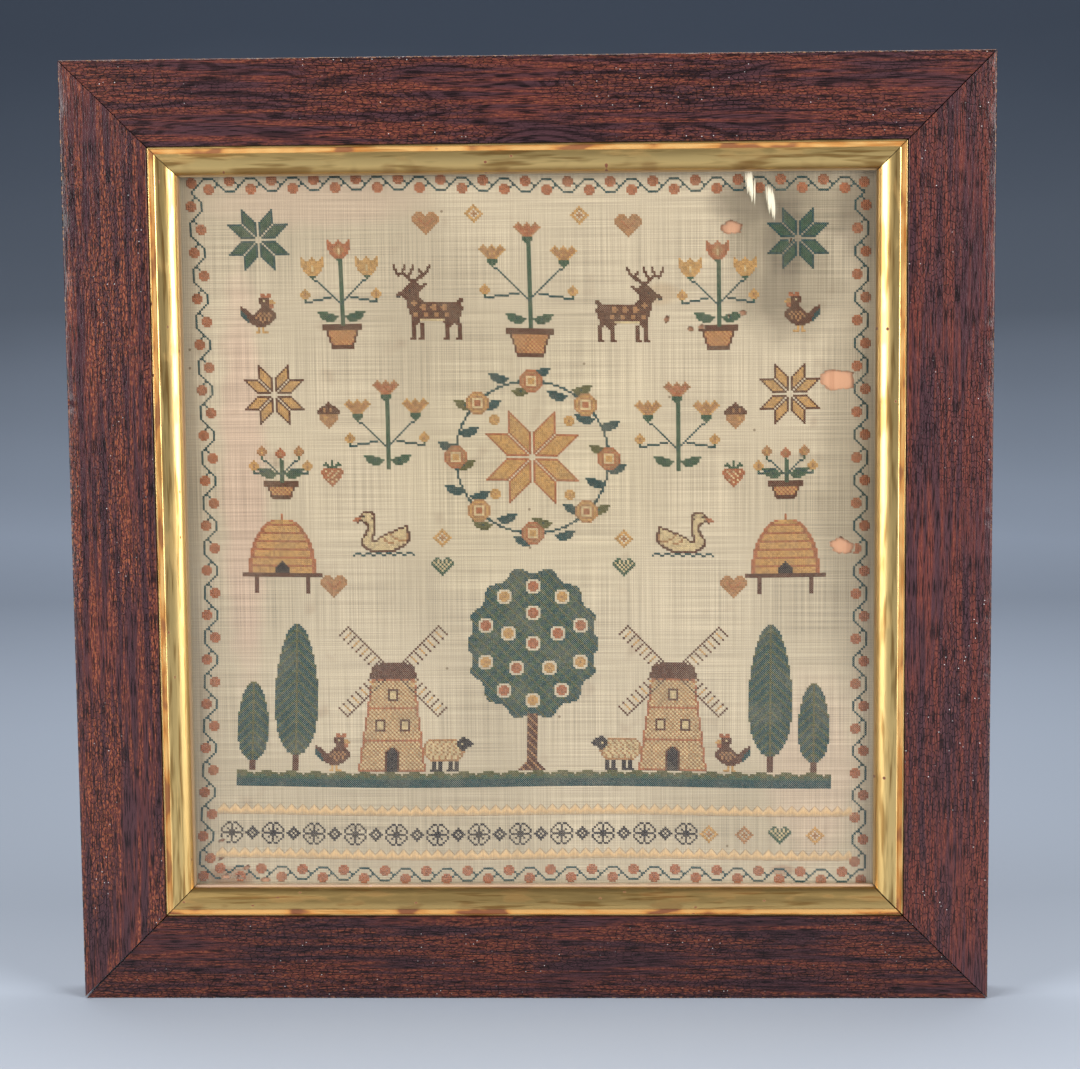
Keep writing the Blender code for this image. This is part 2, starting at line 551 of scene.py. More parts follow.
@dataclass(frozen=True)
class Gilding:
    """Old gilding, worn to its orange ground in the sunk step and along the edges.

    Pale_fillet is how much gesso shows at the sight edge, and tarnish is how dull and rubbed
    the length is; tarnish is partly a painted shade, highest on the upward-facing bottom slip
    to stand in for its dark reflections. The ovolo's foot is also dulled towards the sight
    edge, a painted shade of its inward-facing curve. Repeats are per metre, and the spans are
    insets in millimetres.
    """

    name: str
    outline: Outline
    grain: Grain
    seed: float
    pale_fillet: float
    tarnish: float
    gold: Colour = srgb(242, 206, 134)
    dull: Colour = srgb(164, 128, 74)
    ochre: Colour = srgb(190, 116, 40)
    bole: Colour = srgb(104, 56, 30)
    gesso: Colour = srgb(214, 190, 172)
    lap_repeats: Point = (26, 420)
    cloud_repeats: Point = (38, 110)
    nick_repeats: Point = (90, 160)
    step_start: Span = (40.95, 41.25)
    step_end: Span = (43.6, 43.25)
    # Painted shade: the insets over which the ovolo's foot is dulled, standing in for the darker reflection
    # of its inward-facing curve.
    ovolo_foot: Span = (48.5, 52.5)
    sight_rim: Span = (53.0, 53.35)
    leaf_relief: float = 0.08 * MM

    def make(self) -> bpy.types.Material:
        """Mixes the finish.

        Returns:
            The material.
        """
        r = Recipe(self.name)
        plane = r.lay(self.grain)
        inset = self.outline.inset(r)
        laps = r.noise(plane, self.lap_repeats, 2, 0.6, self.seed)
        clouds = r.noise(plane, self.cloud_repeats, 2, 0.65, self.seed)
        step = inset.ease(*self.step_start) * inset.ease(*self.step_end)
        rim = inset.ease(*self.sight_rim)
        # Real unevenness of the leaf, mixed with painted shade: the dulled foot of the ovolo, and the side's
        # tarnish, which on the bottom slip stands in for its dark reflections.
        aged = laps.ease(0.42, 0.72).most(inset.ease(*self.ovolo_foot) * 0.7).most(self.tarnish)
        colour = r.blend(aged, self.gold, self.dull)
        colour = r.blend(step * (0.35 + clouds.ease(0.35, 0.65) * 0.4), colour, self.ochre)
        # Rubbed patches are real wear; the side's tarnish widens and darkens them, a painted shade that is
        # strongest on the bottom slip.
        rubbed = clouds.ease(0.56 - 0.1 * self.tarnish, 0.68 - 0.08 * self.tarnish)
        colour = r.blend(rubbed * (step * 0.5 + 0.2 + 0.5 * self.tarnish), colour, self.bole)
        nicks = r.flecks(plane, self.nick_repeats, 0.085, 0.13, self.seed)
        colour = r.blend(nicks, colour, self.bole)
        colour = r.blend(rim * self.pale_fillet, colour, self.gesso)
        metal = (1 - step * 0.5) * (1 - rim * self.pale_fillet * 0.8)
        metal = metal * (1 - nicks) * (1 - rubbed * step * 0.7)
        rough = 0.26 + laps * 0.12 + step * 0.12 + nicks * 0.3 + rubbed * 0.1
        normal = r.bump(laps, self.leaf_relief, 0.5)
        return r.finish(r.principled(Base_Color=colour, Metallic=metal, Roughness=rough, Normal=normal))


@dataclass(frozen=True)
class PictureGlass:
    """Thin clear glass that lets the light through and mirrors a little of the room, with two painted glints.
    """

    name: str
    gloss: Colour = (0.85, 0.88, 0.9, 1.0)
    clear: Colour = (0.996, 1.0, 0.996, 1.0)
    # Painted highlight: the white of two glints of reflected light painted onto the glass.
    chalk: Colour = srgb(226, 216, 190)
    head_on: float = 0.03
    edge_on: float = 0.8
    falloff: float = 4
    # Painted highlight: where the two glints lie, how far they reach and lean, how they break into streaks
    # and how strong they are.
    smears: tuple[Point, Point] = ((104.3 * MM, 384.3 * MM), (113.5 * MM, 377.3 * MM))
    smear_reach: Point = (3.4 * MM, 12 * MM)
    smear_lean: float = 0.22
    smear_repeats: Point = (1500, 60)
    smear_strength: float = 0.62

    def make(self) -> bpy.types.Material:
        """Mixes the finish.

        Returns:
            The material.
        """
        r = Recipe(self.name)
        mirror = r.node("ShaderNodeBsdfGlossy", {}, {"Color": self.gloss, "Roughness": 0.0})
        through = r.node("ShaderNodeBsdfTransparent", {}, {"Color": self.clear})
        facing = r.node("ShaderNodeLayerWeight", {}, {"Blend": 0.5}, output="Facing")
        share = facing.maths("POWER", facing, self.falloff) * self.edge_on + self.head_on
        clean = r.node("ShaderNodeMixShader", {}, {0: share, 1: through, 2: mirror})
        # Painted highlight: two streaks of reflected light, a white diffuse shader mixed over the clear
        # glass.
        chalk = r.node("ShaderNodeBsdfDiffuse", {}, {"Color": self.chalk})
        plane = r.lay(Grain.LEVEL)
        first, second = (r.spot(plane, middle, self.smear_reach, self.smear_lean) for middle in self.smears)
        broken = r.noise(plane, self.smear_repeats, 0)
        painted_glint = (first.most(second) * 1.4 - broken).ease(0.02, 0.45, self.smear_strength)
        return r.finish(r.node("ShaderNodeMixShader", {}, {0: painted_glint, 1: clean, 2: chalk}))


@dataclass(frozen=True)
class Stain:
    """A soft-edged discoloured patch in the cloth, in metres."""

    x: float
    z: float
    across: float
    up: float
    colour: Colour
    strength: float


@dataclass(frozen=True)
class AgedLinen:
    """Fine unbleached linen, uneven in its threads, yellowed and stained, with painted shade in the gaps of
    its weave.
    """

    name: str
    stains: tuple[Stain, ...]
    pitch: float
    pale: Colour = srgb(179, 163, 138)
    grey: Colour = srgb(166, 151, 127)
    # The colour of the real frass specks, and also of the painted shade in the gaps of the weave.
    between: Colour = srgb(112, 94, 74)
    slubs: float = 0.52
    slub_repeats: Point = (1.3, 0.009)
    drift_repeats: Point = (9, 9)
    ragged_repeats: Point = (55, 55)
    frass_repeats: Point = (75, 75)
    thread_relief: float = 0.1 * MM

    def make(self) -> bpy.types.Material:
        """Mixes the finish.

        Returns:
            The material.
        """
        r = Recipe(self.name)
        plane = r.lay(Grain.LEVEL)
        drift = r.noise(plane, self.drift_repeats, 1)
        ragged = (r.noise(plane, self.ragged_repeats, 2, 0.5, 3) - 0.5) * 0.4
        colour = r.blend(drift.ease(0.36, 0.66), self.pale, self.grey)
        for stain in self.stains:
            spot = r.spot(plane, (stain.x, stain.z), (stain.across, stain.up)) + ragged
            colour = r.blend(spot.ease(0.06, 0.58, stain.strength), colour, stain.colour)
        fine, long = (share / self.pitch for share in self.slub_repeats)
        warp = r.noise(plane, (fine, long), 0)
        weft = r.noise(plane, (long, fine), 0, 0.5, 7)
        colour = r.darken((warp + weft - 1) * self.slubs + 1, colour)
        frass = r.flecks(plane, self.frass_repeats, 0.06, 0.05)
        colour = r.blend(frass * 0.8, colour, self.between)
        turn = 2 * math.pi / self.pitch
        over, under = (r.x * turn).sine(), (r.z * turn).sine()
        # Painted shade: the gaps between the threads are darkened.
        colour = r.blend((over * under).ease(0.35, 0.95) * 0.45, colour, self.between)
        normal = r.bump((abs(over) + abs(under)) * 0.5, self.thread_relief, 0.6)
        shader = r.principled(Base_Color=colour, Roughness=0.9, Normal=normal, Specular_IOR_Level=0.15)
        return r.finish(shader)


@dataclass(frozen=True)
class SewingThread:
    """Faded thread, each stitch a little lighter or darker than the next."""

    name: str
    colour: Colour
    faded: Colour = srgb(150, 134, 108)
    sheen: float = 0.04
    ply_repeats: Point = (2600, 2600)
    fading_repeats: Point = (70, 70)
    ply_relief: float = 0.05 * MM

    def make(self) -> bpy.types.Material:
        """Mixes the finish.

        Returns:
            The material.
        """
        r = Recipe(self.name)
        stitch = r.node("ShaderNodeAttribute", {"attribute_name": "shade"}, output="Fac")
        plane = r.lay(Grain.LEVEL)
        plies = r.noise(plane, self.ply_repeats, 0)
        fading = r.noise(plane, self.fading_repeats, 0)
        base = r.blend(fading.ease(0.45, 0.8) * 0.15, self.colour, self.faded)
        colour = r.darken(0.52 + stitch * 0.38 + plies * 0.3, base)
        normal = r.bump(plies, self.ply_relief, 0.6)
        shader = r.principled(
            Base_Color=colour, Roughness=0.8, Normal=normal, Specular_IOR_Level=0.15, Sheen_Weight=self.sheen
        )
        return r.finish(shader)


@dataclass(frozen=True)
class PineBoard:
    """A plain old pine board with its growth rings and a few dark stains."""

    name: str
    light: Colour = srgb(196, 146, 112)
    dark: Colour = srgb(162, 110, 80)
    grime: Colour = srgb(96, 68, 50)
    ring_repeats: float = 620
    ring_wander: float = 42
    wander_repeats: Point = (1.6, 14)
    fibre_repeats: Point = (30, 900)
    cloud_repeats: Point = (7, 11)
    grain_relief: float = 0.12 * MM

    def make(self) -> bpy.types.Material:
        """Mixes the finish.

        Returns:
            The material.
        """
        r = Recipe(self.name)
        plane = r.lay(Grain.UPRIGHT)
        wander = r.noise(plane, self.wander_repeats, 3)
        rings = (r.x * self.ring_repeats + wander * self.ring_wander).sine()
        fibre = r.noise(plane, self.fibre_repeats, 3)
        colour = r.blend(rings.ease(0.1, 0.95) * 0.3 + fibre * 0.25, self.light, self.dark)
        clouds = r.noise(plane, self.cloud_repeats, 4, 0.5, 2)
        colour = r.blend(clouds.ease(0.52, 0.75) * 0.5, colour, self.grime)
        normal = r.bump(fibre * 0.6 + rings * 0.2, self.grain_relief, 0.7)
        return r.finish(r.principled(Base_Color=colour, Roughness=0.7 + fibre * 0.2, Normal=normal))


@dataclass(frozen=True)
class StudioPaper:
    """The matt paper of the floor and its sweep, with the fall of the light along it painted in."""

    name: str
    start: float = 0.5
    run: float = 4.0
    tooth_repeats: Point = (5, 5)
    # Painted light and shade: the stops darken the front of the floor where the softboxes light it most, and
    # darken the sweep the further up and back it goes.
    shades: tuple[tuple[float, Colour], ...] = (
        (0.0, srgb(140, 147, 158)),
        (0.07, srgb(170, 176, 186)),
        (0.18, srgb(148, 156, 168)),
        (0.56, srgb(168, 180, 198)),
        (0.75, srgb(104, 113, 126)),
        (0.92, srgb(76, 85, 99)),
    )

    def make(self) -> bpy.types.Material:
        """Mixes the finish, a painted shade that darkens the further back and up the paper goes.

        Returns:
            The material.
        """
        r = Recipe(self.name)
        along = (r.y + r.z + self.start) / self.run
        tooth = r.noise(r.lay(Grain.LEVEL), self.tooth_repeats, 0)
        ramp = r.node("ShaderNodeValToRGB", {"stops": self.shades}, {0: along + tooth * 0.02})
        return r.finish(r.node("ShaderNodeBsdfDiffuse", {}, {"Color": ramp}))


def link_object(name: str, data: bpy.types.ID) -> bpy.types.Object:
    """Makes an object and links it to the scene.

    Args:
        name: The object's name.
        data: Its mesh, light or camera.

    Returns:
        The object.
    """
    made = bpy.data.objects.new(name, data)
    bpy.context.scene.collection.objects.link(made)
    return made


def add_piece(
    name: str,
    mesh: bpy.types.Mesh,
    material: bpy.types.Material,
    sharp: float | None = 35,
) -> bpy.types.Object:
    """Adds a finished mesh to the scene as a piece that rides with the frame.

    Args:
        name: The piece's name.
        mesh: Its mesh, with its place in it.
        material: Its finish.
        sharp: The angle in degrees over which an edge stays sharp, or None for flat faces.

    Returns:
        The piece.
    """
    mesh.materials.clear()
    mesh.materials.append(material)
    if sharp is not None:
        mesh.shade_smooth()
        mesh.set_sharp_from_angle(angle=math.radians(sharp))
    piece = link_object(name, mesh)
    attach(piece, BODY)
    log.info("%s: %d faces", name, len(mesh.polygons))
    return piece


def to_mesh(name: str, shape: bmesh.types.BMesh) -> bpy.types.Mesh:
    """Closes a bmesh and keeps it as a mesh.

    Args:
        name: The mesh's name.
        shape: The bmesh, which is freed.

    Returns:
        The mesh.
    """
    mesh = bpy.data.meshes.new(name)
    shape.to_mesh(mesh)
    shape.free()
    return mesh


def verts_of(made: dict[str, list], key: str = "geom") -> list[bmesh.types.BMVert]:
    """Picks the vertices out of what an operator returned.

    Args:
        made: The operator's result.
        key: Which list of it to look in.

    Returns:
        The vertices.
    """
    return [item for item in made[key] if isinstance(item, bmesh.types.BMVert)]


def arc(centre: Point, radii: Point, first: float, last: float, steps: int) -> Iterator[Point]:
    """Points of an ellipse.

    Args:
        centre: The ellipse's centre.
        radii: Its two radii.
        first: The first angle in degrees.
        last: The last angle in degrees.
        steps: How many steps lie between them.

    Yields:
        Each point, both ends included.
    """
    for step in range(steps + 1):
        angle = math.radians(first + (last - first) * step / steps)
        yield centre[0] + radii[0] * math.cos(angle), centre[1] + radii[1] * math.sin(angle)


@dataclass(frozen=True)
class Mitre:
    """How far a mitred joint has opened, at its outer corner and at the sight edge."""

    outer: float
    inner: float


@dataclass(frozen=True)
class Run:
    """One side of the frame, turned about Y from the bottom one."""

    member: str
    turn: float
    grain: Grain
    low_corner: str
    high_corner: str


class Side(Enum):
    """The frame's four sides."""

    BOTTOM = Run("rail", 0, Grain.LEVEL, "bottom_left", "bottom_right")
    RIGHT = Run("stile", -90, Grain.UPRIGHT, "bottom_right", "top_right")
    TOP = Run("rail", 180, Grain.LEVEL, "top_right", "top_left")
    LEFT = Run("stile", 90, Grain.UPRIGHT, "top_left", "bottom_left")

    @property
    def place(self) -> str:
        """The side's name in a node's name."""
        return self.name.lower()


@dataclass
class Moulding:
    """Four mitred lengths of one moulding."""

    outline: Outline
    mitres: dict[str, Mitre]
    step: float = 3 * MM

    def section(self) -> list[Point]:
        """The moulding's section, as (inset, depth) points."""
        raise NotImplementedError

    def wear(self, along: float, inset: float, depth: float) -> Point:
        """How far age has moved a point of the surface.

        Args:
            along: The place along the length, with an offset for the side.
            inset: The point's inset.
            depth: The point's depth.

        Returns:
            What to add to the inset and to the depth.
        """
        raise NotImplementedError

    def shape_length(self, side: Side) -> bmesh.types.BMesh:
        """Runs the section along one side, wears it and mitres both of its ends.

        Args:
            side: Which side.

        Returns:
            The closed shape, in its place.
        """
        run = side.value
        upright = run.grain is Grain.UPRIGHT
        length = self.outline.height if upright else self.outline.width
        edge = -(self.outline.width if upright else self.outline.height) / 2
        front = -self.outline.depth / 2
        shape = bmesh.new()
        section = [(front + depth, edge + inset) for inset, depth in self.section()]
        ring = [shape.verts.new((-length / 2, y, z)) for y, z in section]
        swept = bmesh.ops.extrude_face_region(shape, geom=[shape.faces.new(ring)])
        bmesh.ops.translate(shape, verts=verts_of(swept), vec=(length, 0, 0))
        long_edges = [item for item in shape.edges if item.calc_length() > length * LENGTHWISE]
        cuts = round(length / self.step) - 1
        bmesh.ops.subdivide_edges(shape, edges=long_edges, cuts=cuts, use_grid_fill=True)
        for vert in shape.verts:
            inset, depth = vert.co.z - edge, vert.co.y - front
            deeper, back = self.wear(vert.co.x + run.turn, inset, depth)
            vert.co.z += deeper
            vert.co.y += back
        for run_end, corner in ((-1, run.low_corner), (1, run.high_corner)):
            self._saw_mitre(shape, length / 2, edge, run_end, self.mitres[corner])
        turn = Matrix.Rotation(math.radians(run.turn), 4, "Y")
        lift = Matrix.Translation((0, 0, self.outline.height / 2))
        bmesh.ops.transform(shape, matrix=lift @ turn, verts=shape.verts)
        bmesh.ops.recalc_face_normals(shape, faces=shape.faces)
        return shape

    def _saw_mitre(
        self, shape: bmesh.types.BMesh, end: float, edge: float, run_end: int, mitre: Mitre
    ) -> None:
        """Cuts one end off along its mitre and closes the cut.

        Args:
            shape: The length of moulding.
            end: Half of its length.
            edge: Where its outer edge lies in Z.
            run_end: -1 at the low end and +1 at the high end.
            mitre: How far the joint has opened.
        """
        outer = Vector((run_end * (end - mitre.outer / math.sqrt(2)), 0, edge))
        inner = Vector((run_end * (end - SIGHT - mitre.inner / math.sqrt(2)), 0, edge + SIGHT))
        along = (inner - outer).normalized()
        cut = bmesh.ops.bisect_plane(
            shape,
            geom=shape.verts[:] + shape.edges[:] + shape.faces[:],
            plane_co=outer,
            plane_no=(run_end * along.z, 0, abs(along.x)),
            clear_outer=True,
        )
        rim = [item for item in cut["geom_cut"] if isinstance(item, bmesh.types.BMEdge)]
        bmesh.ops.contextual_create(shape, geom=rim)


@dataclass
class OakFrame(Moulding):
    """The dark oak frame: a flat face, worn arrises and a lip over the rabbet.

    Rub, chip and swell are how far age moves the surface, with their repeats a metre.
    """

    face: float = 40 * MM
    outer_arris: float = 0.9 * MM
    inner_arris: float = 0.45 * MM
    back_chamfer: float = 0.5 * MM
    lip: float = 4 * MM
    rabbet: float = 6 * MM
    face_strips: int = 9
    rub: float = 0.22 * MM
    rub_repeats: float = 70
    chip: float = 0.75 * MM
    chip_repeats: float = 210
    chip_floor: float = 0.42
    swell: float = 0.1 * MM
    swell_repeats: Point = (14, 40)

    def section(self) -> list[Point]:
        """The oak's section, with a few strips across its flat face.

        Returns:
            Its corners as (inset, depth), from the outer arris round to the back.
        """
        start, end = self.outer_arris, self.face - self.inner_arris
        strips = [(start + (end - start) * n / self.face_strips, 0.0) for n in range(1, self.face_strips)]
        outer, inner = self.outer_arris, self.inner_arris
        lip_edge = self.face - self.rabbet
        return [
            *arc((outer, outer), (outer, outer), 180, 270, 5),
            *strips,
            *arc((end, inner), (inner, inner), 270, 360, 4),
            (self.face, self.lip),
            (lip_edge, self.lip),
            (lip_edge, self.outline.depth),
            (self.back_chamfer, self.outline.depth),
            (0, self.outline.depth - self.back_chamfer),
        ]

    def wear(self, along: float, inset: float, depth: float) -> Point:
        """Rubs and chips the outer arris, and lets the face swell a little.

        Args:
            along: The place along the length.
            inset: The point's inset.
            depth: The point's depth.

        Returns:
            What to add to the inset and to the depth.
        """
        if depth > self.outer_arris:
            return 0, 0
        if inset < self.outer_arris:
            rubbed = max(0, noise.noise(Vector((along * self.rub_repeats, 3, 1)))) * self.rub
            flaw = noise.noise(Vector((along * self.chip_repeats, 9, 2)))
            chipped = max(0, flaw - self.chip_floor) * self.chip
            return rubbed + chipped, rubbed + chipped
        place = Vector((along * self.swell_repeats[0], inset * self.swell_repeats[1], 5))
        swell = (1 + noise.noise(place)) / 2 * self.swell
        return 0, swell * math.sin(math.pi * min(1, inset / self.face))

    def build(self) -> None:
        """Builds and finishes the four lengths."""
        embers = {Side.TOP: 0.4, Side.BOTTOM: 0.5, Side.LEFT: 0.75, Side.RIGHT: 0.18}
        figure = {Side.TOP: 0.65, Side.BOTTOM: 0.35, Side.LEFT: 0.15, Side.RIGHT: 0.25}
        # Painted light and shade: how light each side is painted, the bottom darkest and the right lightest,
        # though the wood is alike on all four sides.
        tone = {Side.TOP: 0.8, Side.BOTTOM: 0.58, Side.LEFT: 0.83, Side.RIGHT: 0.95}
        for number, side in enumerate(Side):
            name = f"oak_{side.value.member}_{side.place}"
            finish = StainedOak(
                name, self.outline, side.value.grain, 3.7 * number, embers[side], figure[side], tone[side]
            )
            mesh = to_mesh(name + "_worn", self.shape_length(side))
            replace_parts(add_piece(name + "_worn", mesh, finish.make()), name)


@dataclass
class GiltSlip(Moulding):
    """The gilt slip: fillet, sunk step, small bead, long ovolo and sight fillet."""

    oak_face: float = 40 * MM
    flange: float = 5.5 * MM
    flange_depth: float = 4.3 * MM
    back: float = 9.5 * MM
    top_fillet: Point = (0.8 * MM, 1.1 * MM)
    sunk_step: Point = (2.2 * MM, 1.9 * MM)
    step_fall: float = 0.2 * MM
    bead: Point = (0.7 * MM, 1.3 * MM)
    bead_round: float = 0.12 * MM
    sight_fillet: Point = (0.7 * MM, 6.7 * MM)
    ease: float = 0.3 * MM
    softening: float = 0.1 * MM
    ripple: float = 0.07 * MM
    ripple_repeats: Point = (38, 160)

    def section(self) -> list[Point]:
        """The slip's section, its ovolo in many short steps.

        Returns:
            Its corners as (inset, depth), from the flange round to the back.
        """
        fillet_start = self.oak_face + GAP
        fillet_end = fillet_start + self.top_fillet[0]
        step_end = fillet_end + self.sunk_step[0]
        bead_start = step_end + self.bead[0] / 2
        ovolo_start = step_end + self.bead[0]
        ovolo_end = SIGHT - self.sight_fillet[0]
        ovolo_depth = self.sight_fillet[1] - self.ease
        radii = (ovolo_end - ovolo_start, ovolo_depth - self.bead[1])
        flange_edge = self.oak_face - self.flange
        return [
            (flange_edge, self.flange_depth),
            (fillet_start, self.flange_depth),
            (fillet_start, self.top_fillet[1] + self.softening),
            (fillet_start + self.softening, self.top_fillet[1]),
            (fillet_end, self.top_fillet[1]),
            (fillet_end + self.ease, self.sunk_step[1] - self.step_fall),
            (step_end, self.sunk_step[1]),
            (step_end + self.softening, self.bead[1] + self.bead_round),
            (bead_start, self.bead[1]),
            *arc((ovolo_start, ovolo_depth), radii, 270, 360, 24),
            (ovolo_end, self.sight_fillet[1]),
            (SIGHT, self.sight_fillet[1]),
            (SIGHT, self.back),
            (flange_edge, self.back),
        ]

    def wear(self, along: float, inset: float, depth: float) -> Point:
        """Gives the hand-laid ground a slight ripple.

        Args:
            along: The place along the length.
            inset: The point's inset.
            depth: The point's depth.

        Returns:
            What to add to the inset and to the depth.
        """
        if inset < self.oak_face + GAP or depth > self.sight_fillet[1]:
            return 0, 0
        place = Vector((along * self.ripple_repeats[0], inset * self.ripple_repeats[1], 8))
        return 0, (1 + noise.noise(place)) / 2 * self.ripple

    def build(self) -> None:
        """Builds and finishes the four lengths."""
        pale = {Side.TOP: 0.25, Side.BOTTOM: 0.6, Side.LEFT: 0.35, Side.RIGHT: 0.15}
        # Tarnish per side is partly a painted shade: the upward-facing bottom slip is dulled most, standing
        # in for its dark reflections.
        tarnish = {Side.TOP: 0.2, Side.BOTTOM: 0.45, Side.LEFT: 0.05, Side.RIGHT: 0.0}
        for number, side in enumerate(Side):
            name = f"gilt_slip_{side.place}"
            finish = Gilding(name, self.outline, side.value.grain, 5.3 * number, pale[side], tarnish[side])
            mesh = to_mesh(name + "_worn", self.shape_length(side))
            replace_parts(add_piece(name + "_worn", mesh, finish.make(), sharp=48), name)


@dataclass(frozen=True)
class Hole:
    """A moth hole.

    Squareness 2 is an ellipse and more is boxier, lean slides its top sideways, belly is the
    share of its height under the middle, and ragged is how deep the lobes of its edge are.
    """

    x: float
    z: float
    width: float
    height: float
    squareness: float = 2.2
    lean: float = 0.0
    belly: float = 0.5
    ragged: float = 0.05
    points: int = 40
    lobes: int = 5

    def outline(self) -> Iterator[Point]:
        """Goes round the hole.

        Yields:
            Each point of its edge as (x, z).
        """
        for step in range(self.points):
            angle = 2 * math.pi * step / self.points
            across, up = math.cos(angle), math.sin(angle)
            bite = math.cos((2 * self.lobes + 1) * angle + self.x / MM)
            lobe = 1 + self.ragged * (math.cos(self.lobes * angle + self.width / MM) + 0.7 * bite)
            half_height = self.height * (self.belly if up < 0 else 1 - self.belly)
            x = lobe * math.copysign(abs(across) ** (2 / self.squareness), across) * self.width / 2
            z = lobe * math.copysign(abs(up) ** (2 / self.squareness), up) * half_height
            yield self.x + x + self.lean * z, self.z + z


@dataclass
class LinenSheet:
    """The linen, stretched flat between the glass and the board, with its moth holes."""

    outline: Outline
    node: str = "sampler_cloth"
    thread_pitch: float = 0.49 * MM
    thickness: float = 0.45 * MM
    clearance: float = 0.1 * MM
    pucker: float = 0.07 * MM
    pucker_repeats: Point = (26, 17)
    cell: float = 3 * MM
    cutter_reach: float = 3 * MM
    holes: tuple[Hole, ...] = tuple(
        Hole(x * MM, z * MM, width * MM, height * MM, *form)
        for x, z, width, height, *form in (
            (95.6, 365.5, 10.2, 6.4, 2.2, 0.00, 0.35, 0.08),
            (145.3, 295.2, 15.8, 9.4, 3.4, -0.10, 0.55, 0.07),
            (147.7, 216.0, 11.5, 8.2, 1.7, -0.25, 0.45, 0.09),
            (65.2, 323.8, 2.6, 3.8, 2.0, 0.2, 0.5, 0.12),
            (76.4, 319.0, 3.2, 2.6, 1.8, -0.2, 0.4, 0.10),
            (81.5, 320.0, 3.3, 2.8, 2.0, 0.3, 0.5, 0.10),
            (101.0, 326.7, 3.6, 2.7, 2.6, 0.0, 0.6, 0.10),
            (94.3, 325.2, 1.3, 2.2, 2.0, 0.1, 0.5, 0.10),
            (122.9, 359.6, 1.8, 3.4, 1.8, 0.5, 0.4, 0.12),
            (-150.6, 66.2, 2.6, 3.6, 1.8, 0.9, 0.5, 0.08),
            (-138.8, 60.9, 3.6, 3.3, 1.4, 0.5, 0.4, 0.06),
            (-129.7, 54.6, 5.0, 2.6, 2.2, 0.0, 0.2, 0.06),
            (-149.0, 56.6, 5.6, 2.6, 2.0, 0.2, 0.4, 0.12),
            (-142.6, 56.2, 3.6, 2.0, 2.0, -0.2, 0.4, 0.12),
            (-150.6, 74.6, 3.4, 2.2, 1.8, 0.8, 0.5, 0.08),
        )
    )
    piece: bpy.types.Object | None = None
    front: float = 0.0
    size: Point = (0.0, 0.0)

    def rise(self, x: float, z: float) -> float:
        """How far the cloth puckers back from flat.

        Args:
            x: The place across.
            z: The height.

        Returns:
            The distance in metres.
        """
        slow = noise.noise(Vector((x * self.pucker_repeats[0], z * self.pucker_repeats[1], 4)))
        return (1 + slow) / 2 * self.pucker

    def build(self) -> None:
        """Weaves the sheet, cuts its holes and finishes it."""
        low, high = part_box(self.node)
        size = high - low
        self.front = low.y + self.clearance
        shape = bmesh.new()
        middle = Matrix.Translation((0, self.front, (low.z + high.z) / 2))
        upright = middle @ Matrix.Rotation(math.pi / 2, 4, "X")
        stretch = Matrix.Diagonal((size.x / 2, size.z / 2, 1, 1))
        columns, rows = round(size.x / self.cell), round(size.z / self.cell)
        bmesh.ops.create_grid(shape, x_segments=columns, y_segments=rows, size=1, matrix=upright @ stretch)
        for vert in shape.verts:
            vert.co.y += self.rise(vert.co.x, vert.co.z)
        swept = bmesh.ops.extrude_face_region(shape, geom=shape.faces[:])
        bmesh.ops.translate(shape, verts=verts_of(swept), vec=(0, self.thickness, 0))
        bmesh.ops.recalc_face_normals(shape, faces=shape.faces)
        whole = link_object("whole_cloth", to_mesh("whole_cloth", shape))
        mesh = self._eat_holes(whole)
        finish = AgedLinen("linen", self._stains(), self.thread_pitch)
        self.piece = add_piece("linen_sheet", mesh, finish.make())
        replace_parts(self.piece, self.node)
        self.size = (size.x, size.z)

    def _eat_holes(self, whole: bpy.types.Object) -> bpy.types.Mesh:
        """Cuts the moth holes through the cloth.

        Args:
            whole: The uncut sheet, which is removed.

        Returns:
            The cut mesh.
        """
        shape = bmesh.new()
        near = self.front - self.cutter_reach
        for hole in self.holes:
            ring = [shape.verts.new((x, near, z)) for x, z in hole.outline()]
            swept = bmesh.ops.extrude_face_region(shape, geom=[shape.faces.new(ring)])
            bmesh.ops.translate(shape, verts=verts_of(swept), vec=(0, 2 * self.cutter_reach, 0))
        bmesh.ops.recalc_face_normals(shape, faces=shape.faces)
        moths = link_object("moths", to_mesh("moths", shape))
        bite = whole.modifiers.new("moths", "BOOLEAN")
        bite.operation = "DIFFERENCE"
        bite.object = moths
        worn = whole.evaluated_get(bpy.context.evaluated_depsgraph_get())
        mesh = bpy.data.meshes.new_from_object(worn)
        for used in (whole, moths):
            bpy.data.objects.remove(used)
        return mesh

    @staticmethod
    def _stains() -> tuple[Stain, ...]:
        """The cloth's stains and faded places, listed in millimetres; the grey band along the right edge is
        partly a painted shadow of the slip.

        Returns:
            The stains in metres, the lowest layer first.
        """
        pink, smoke, rust = srgb(182, 152, 132), srgb(88, 77, 65), srgb(122, 84, 58)
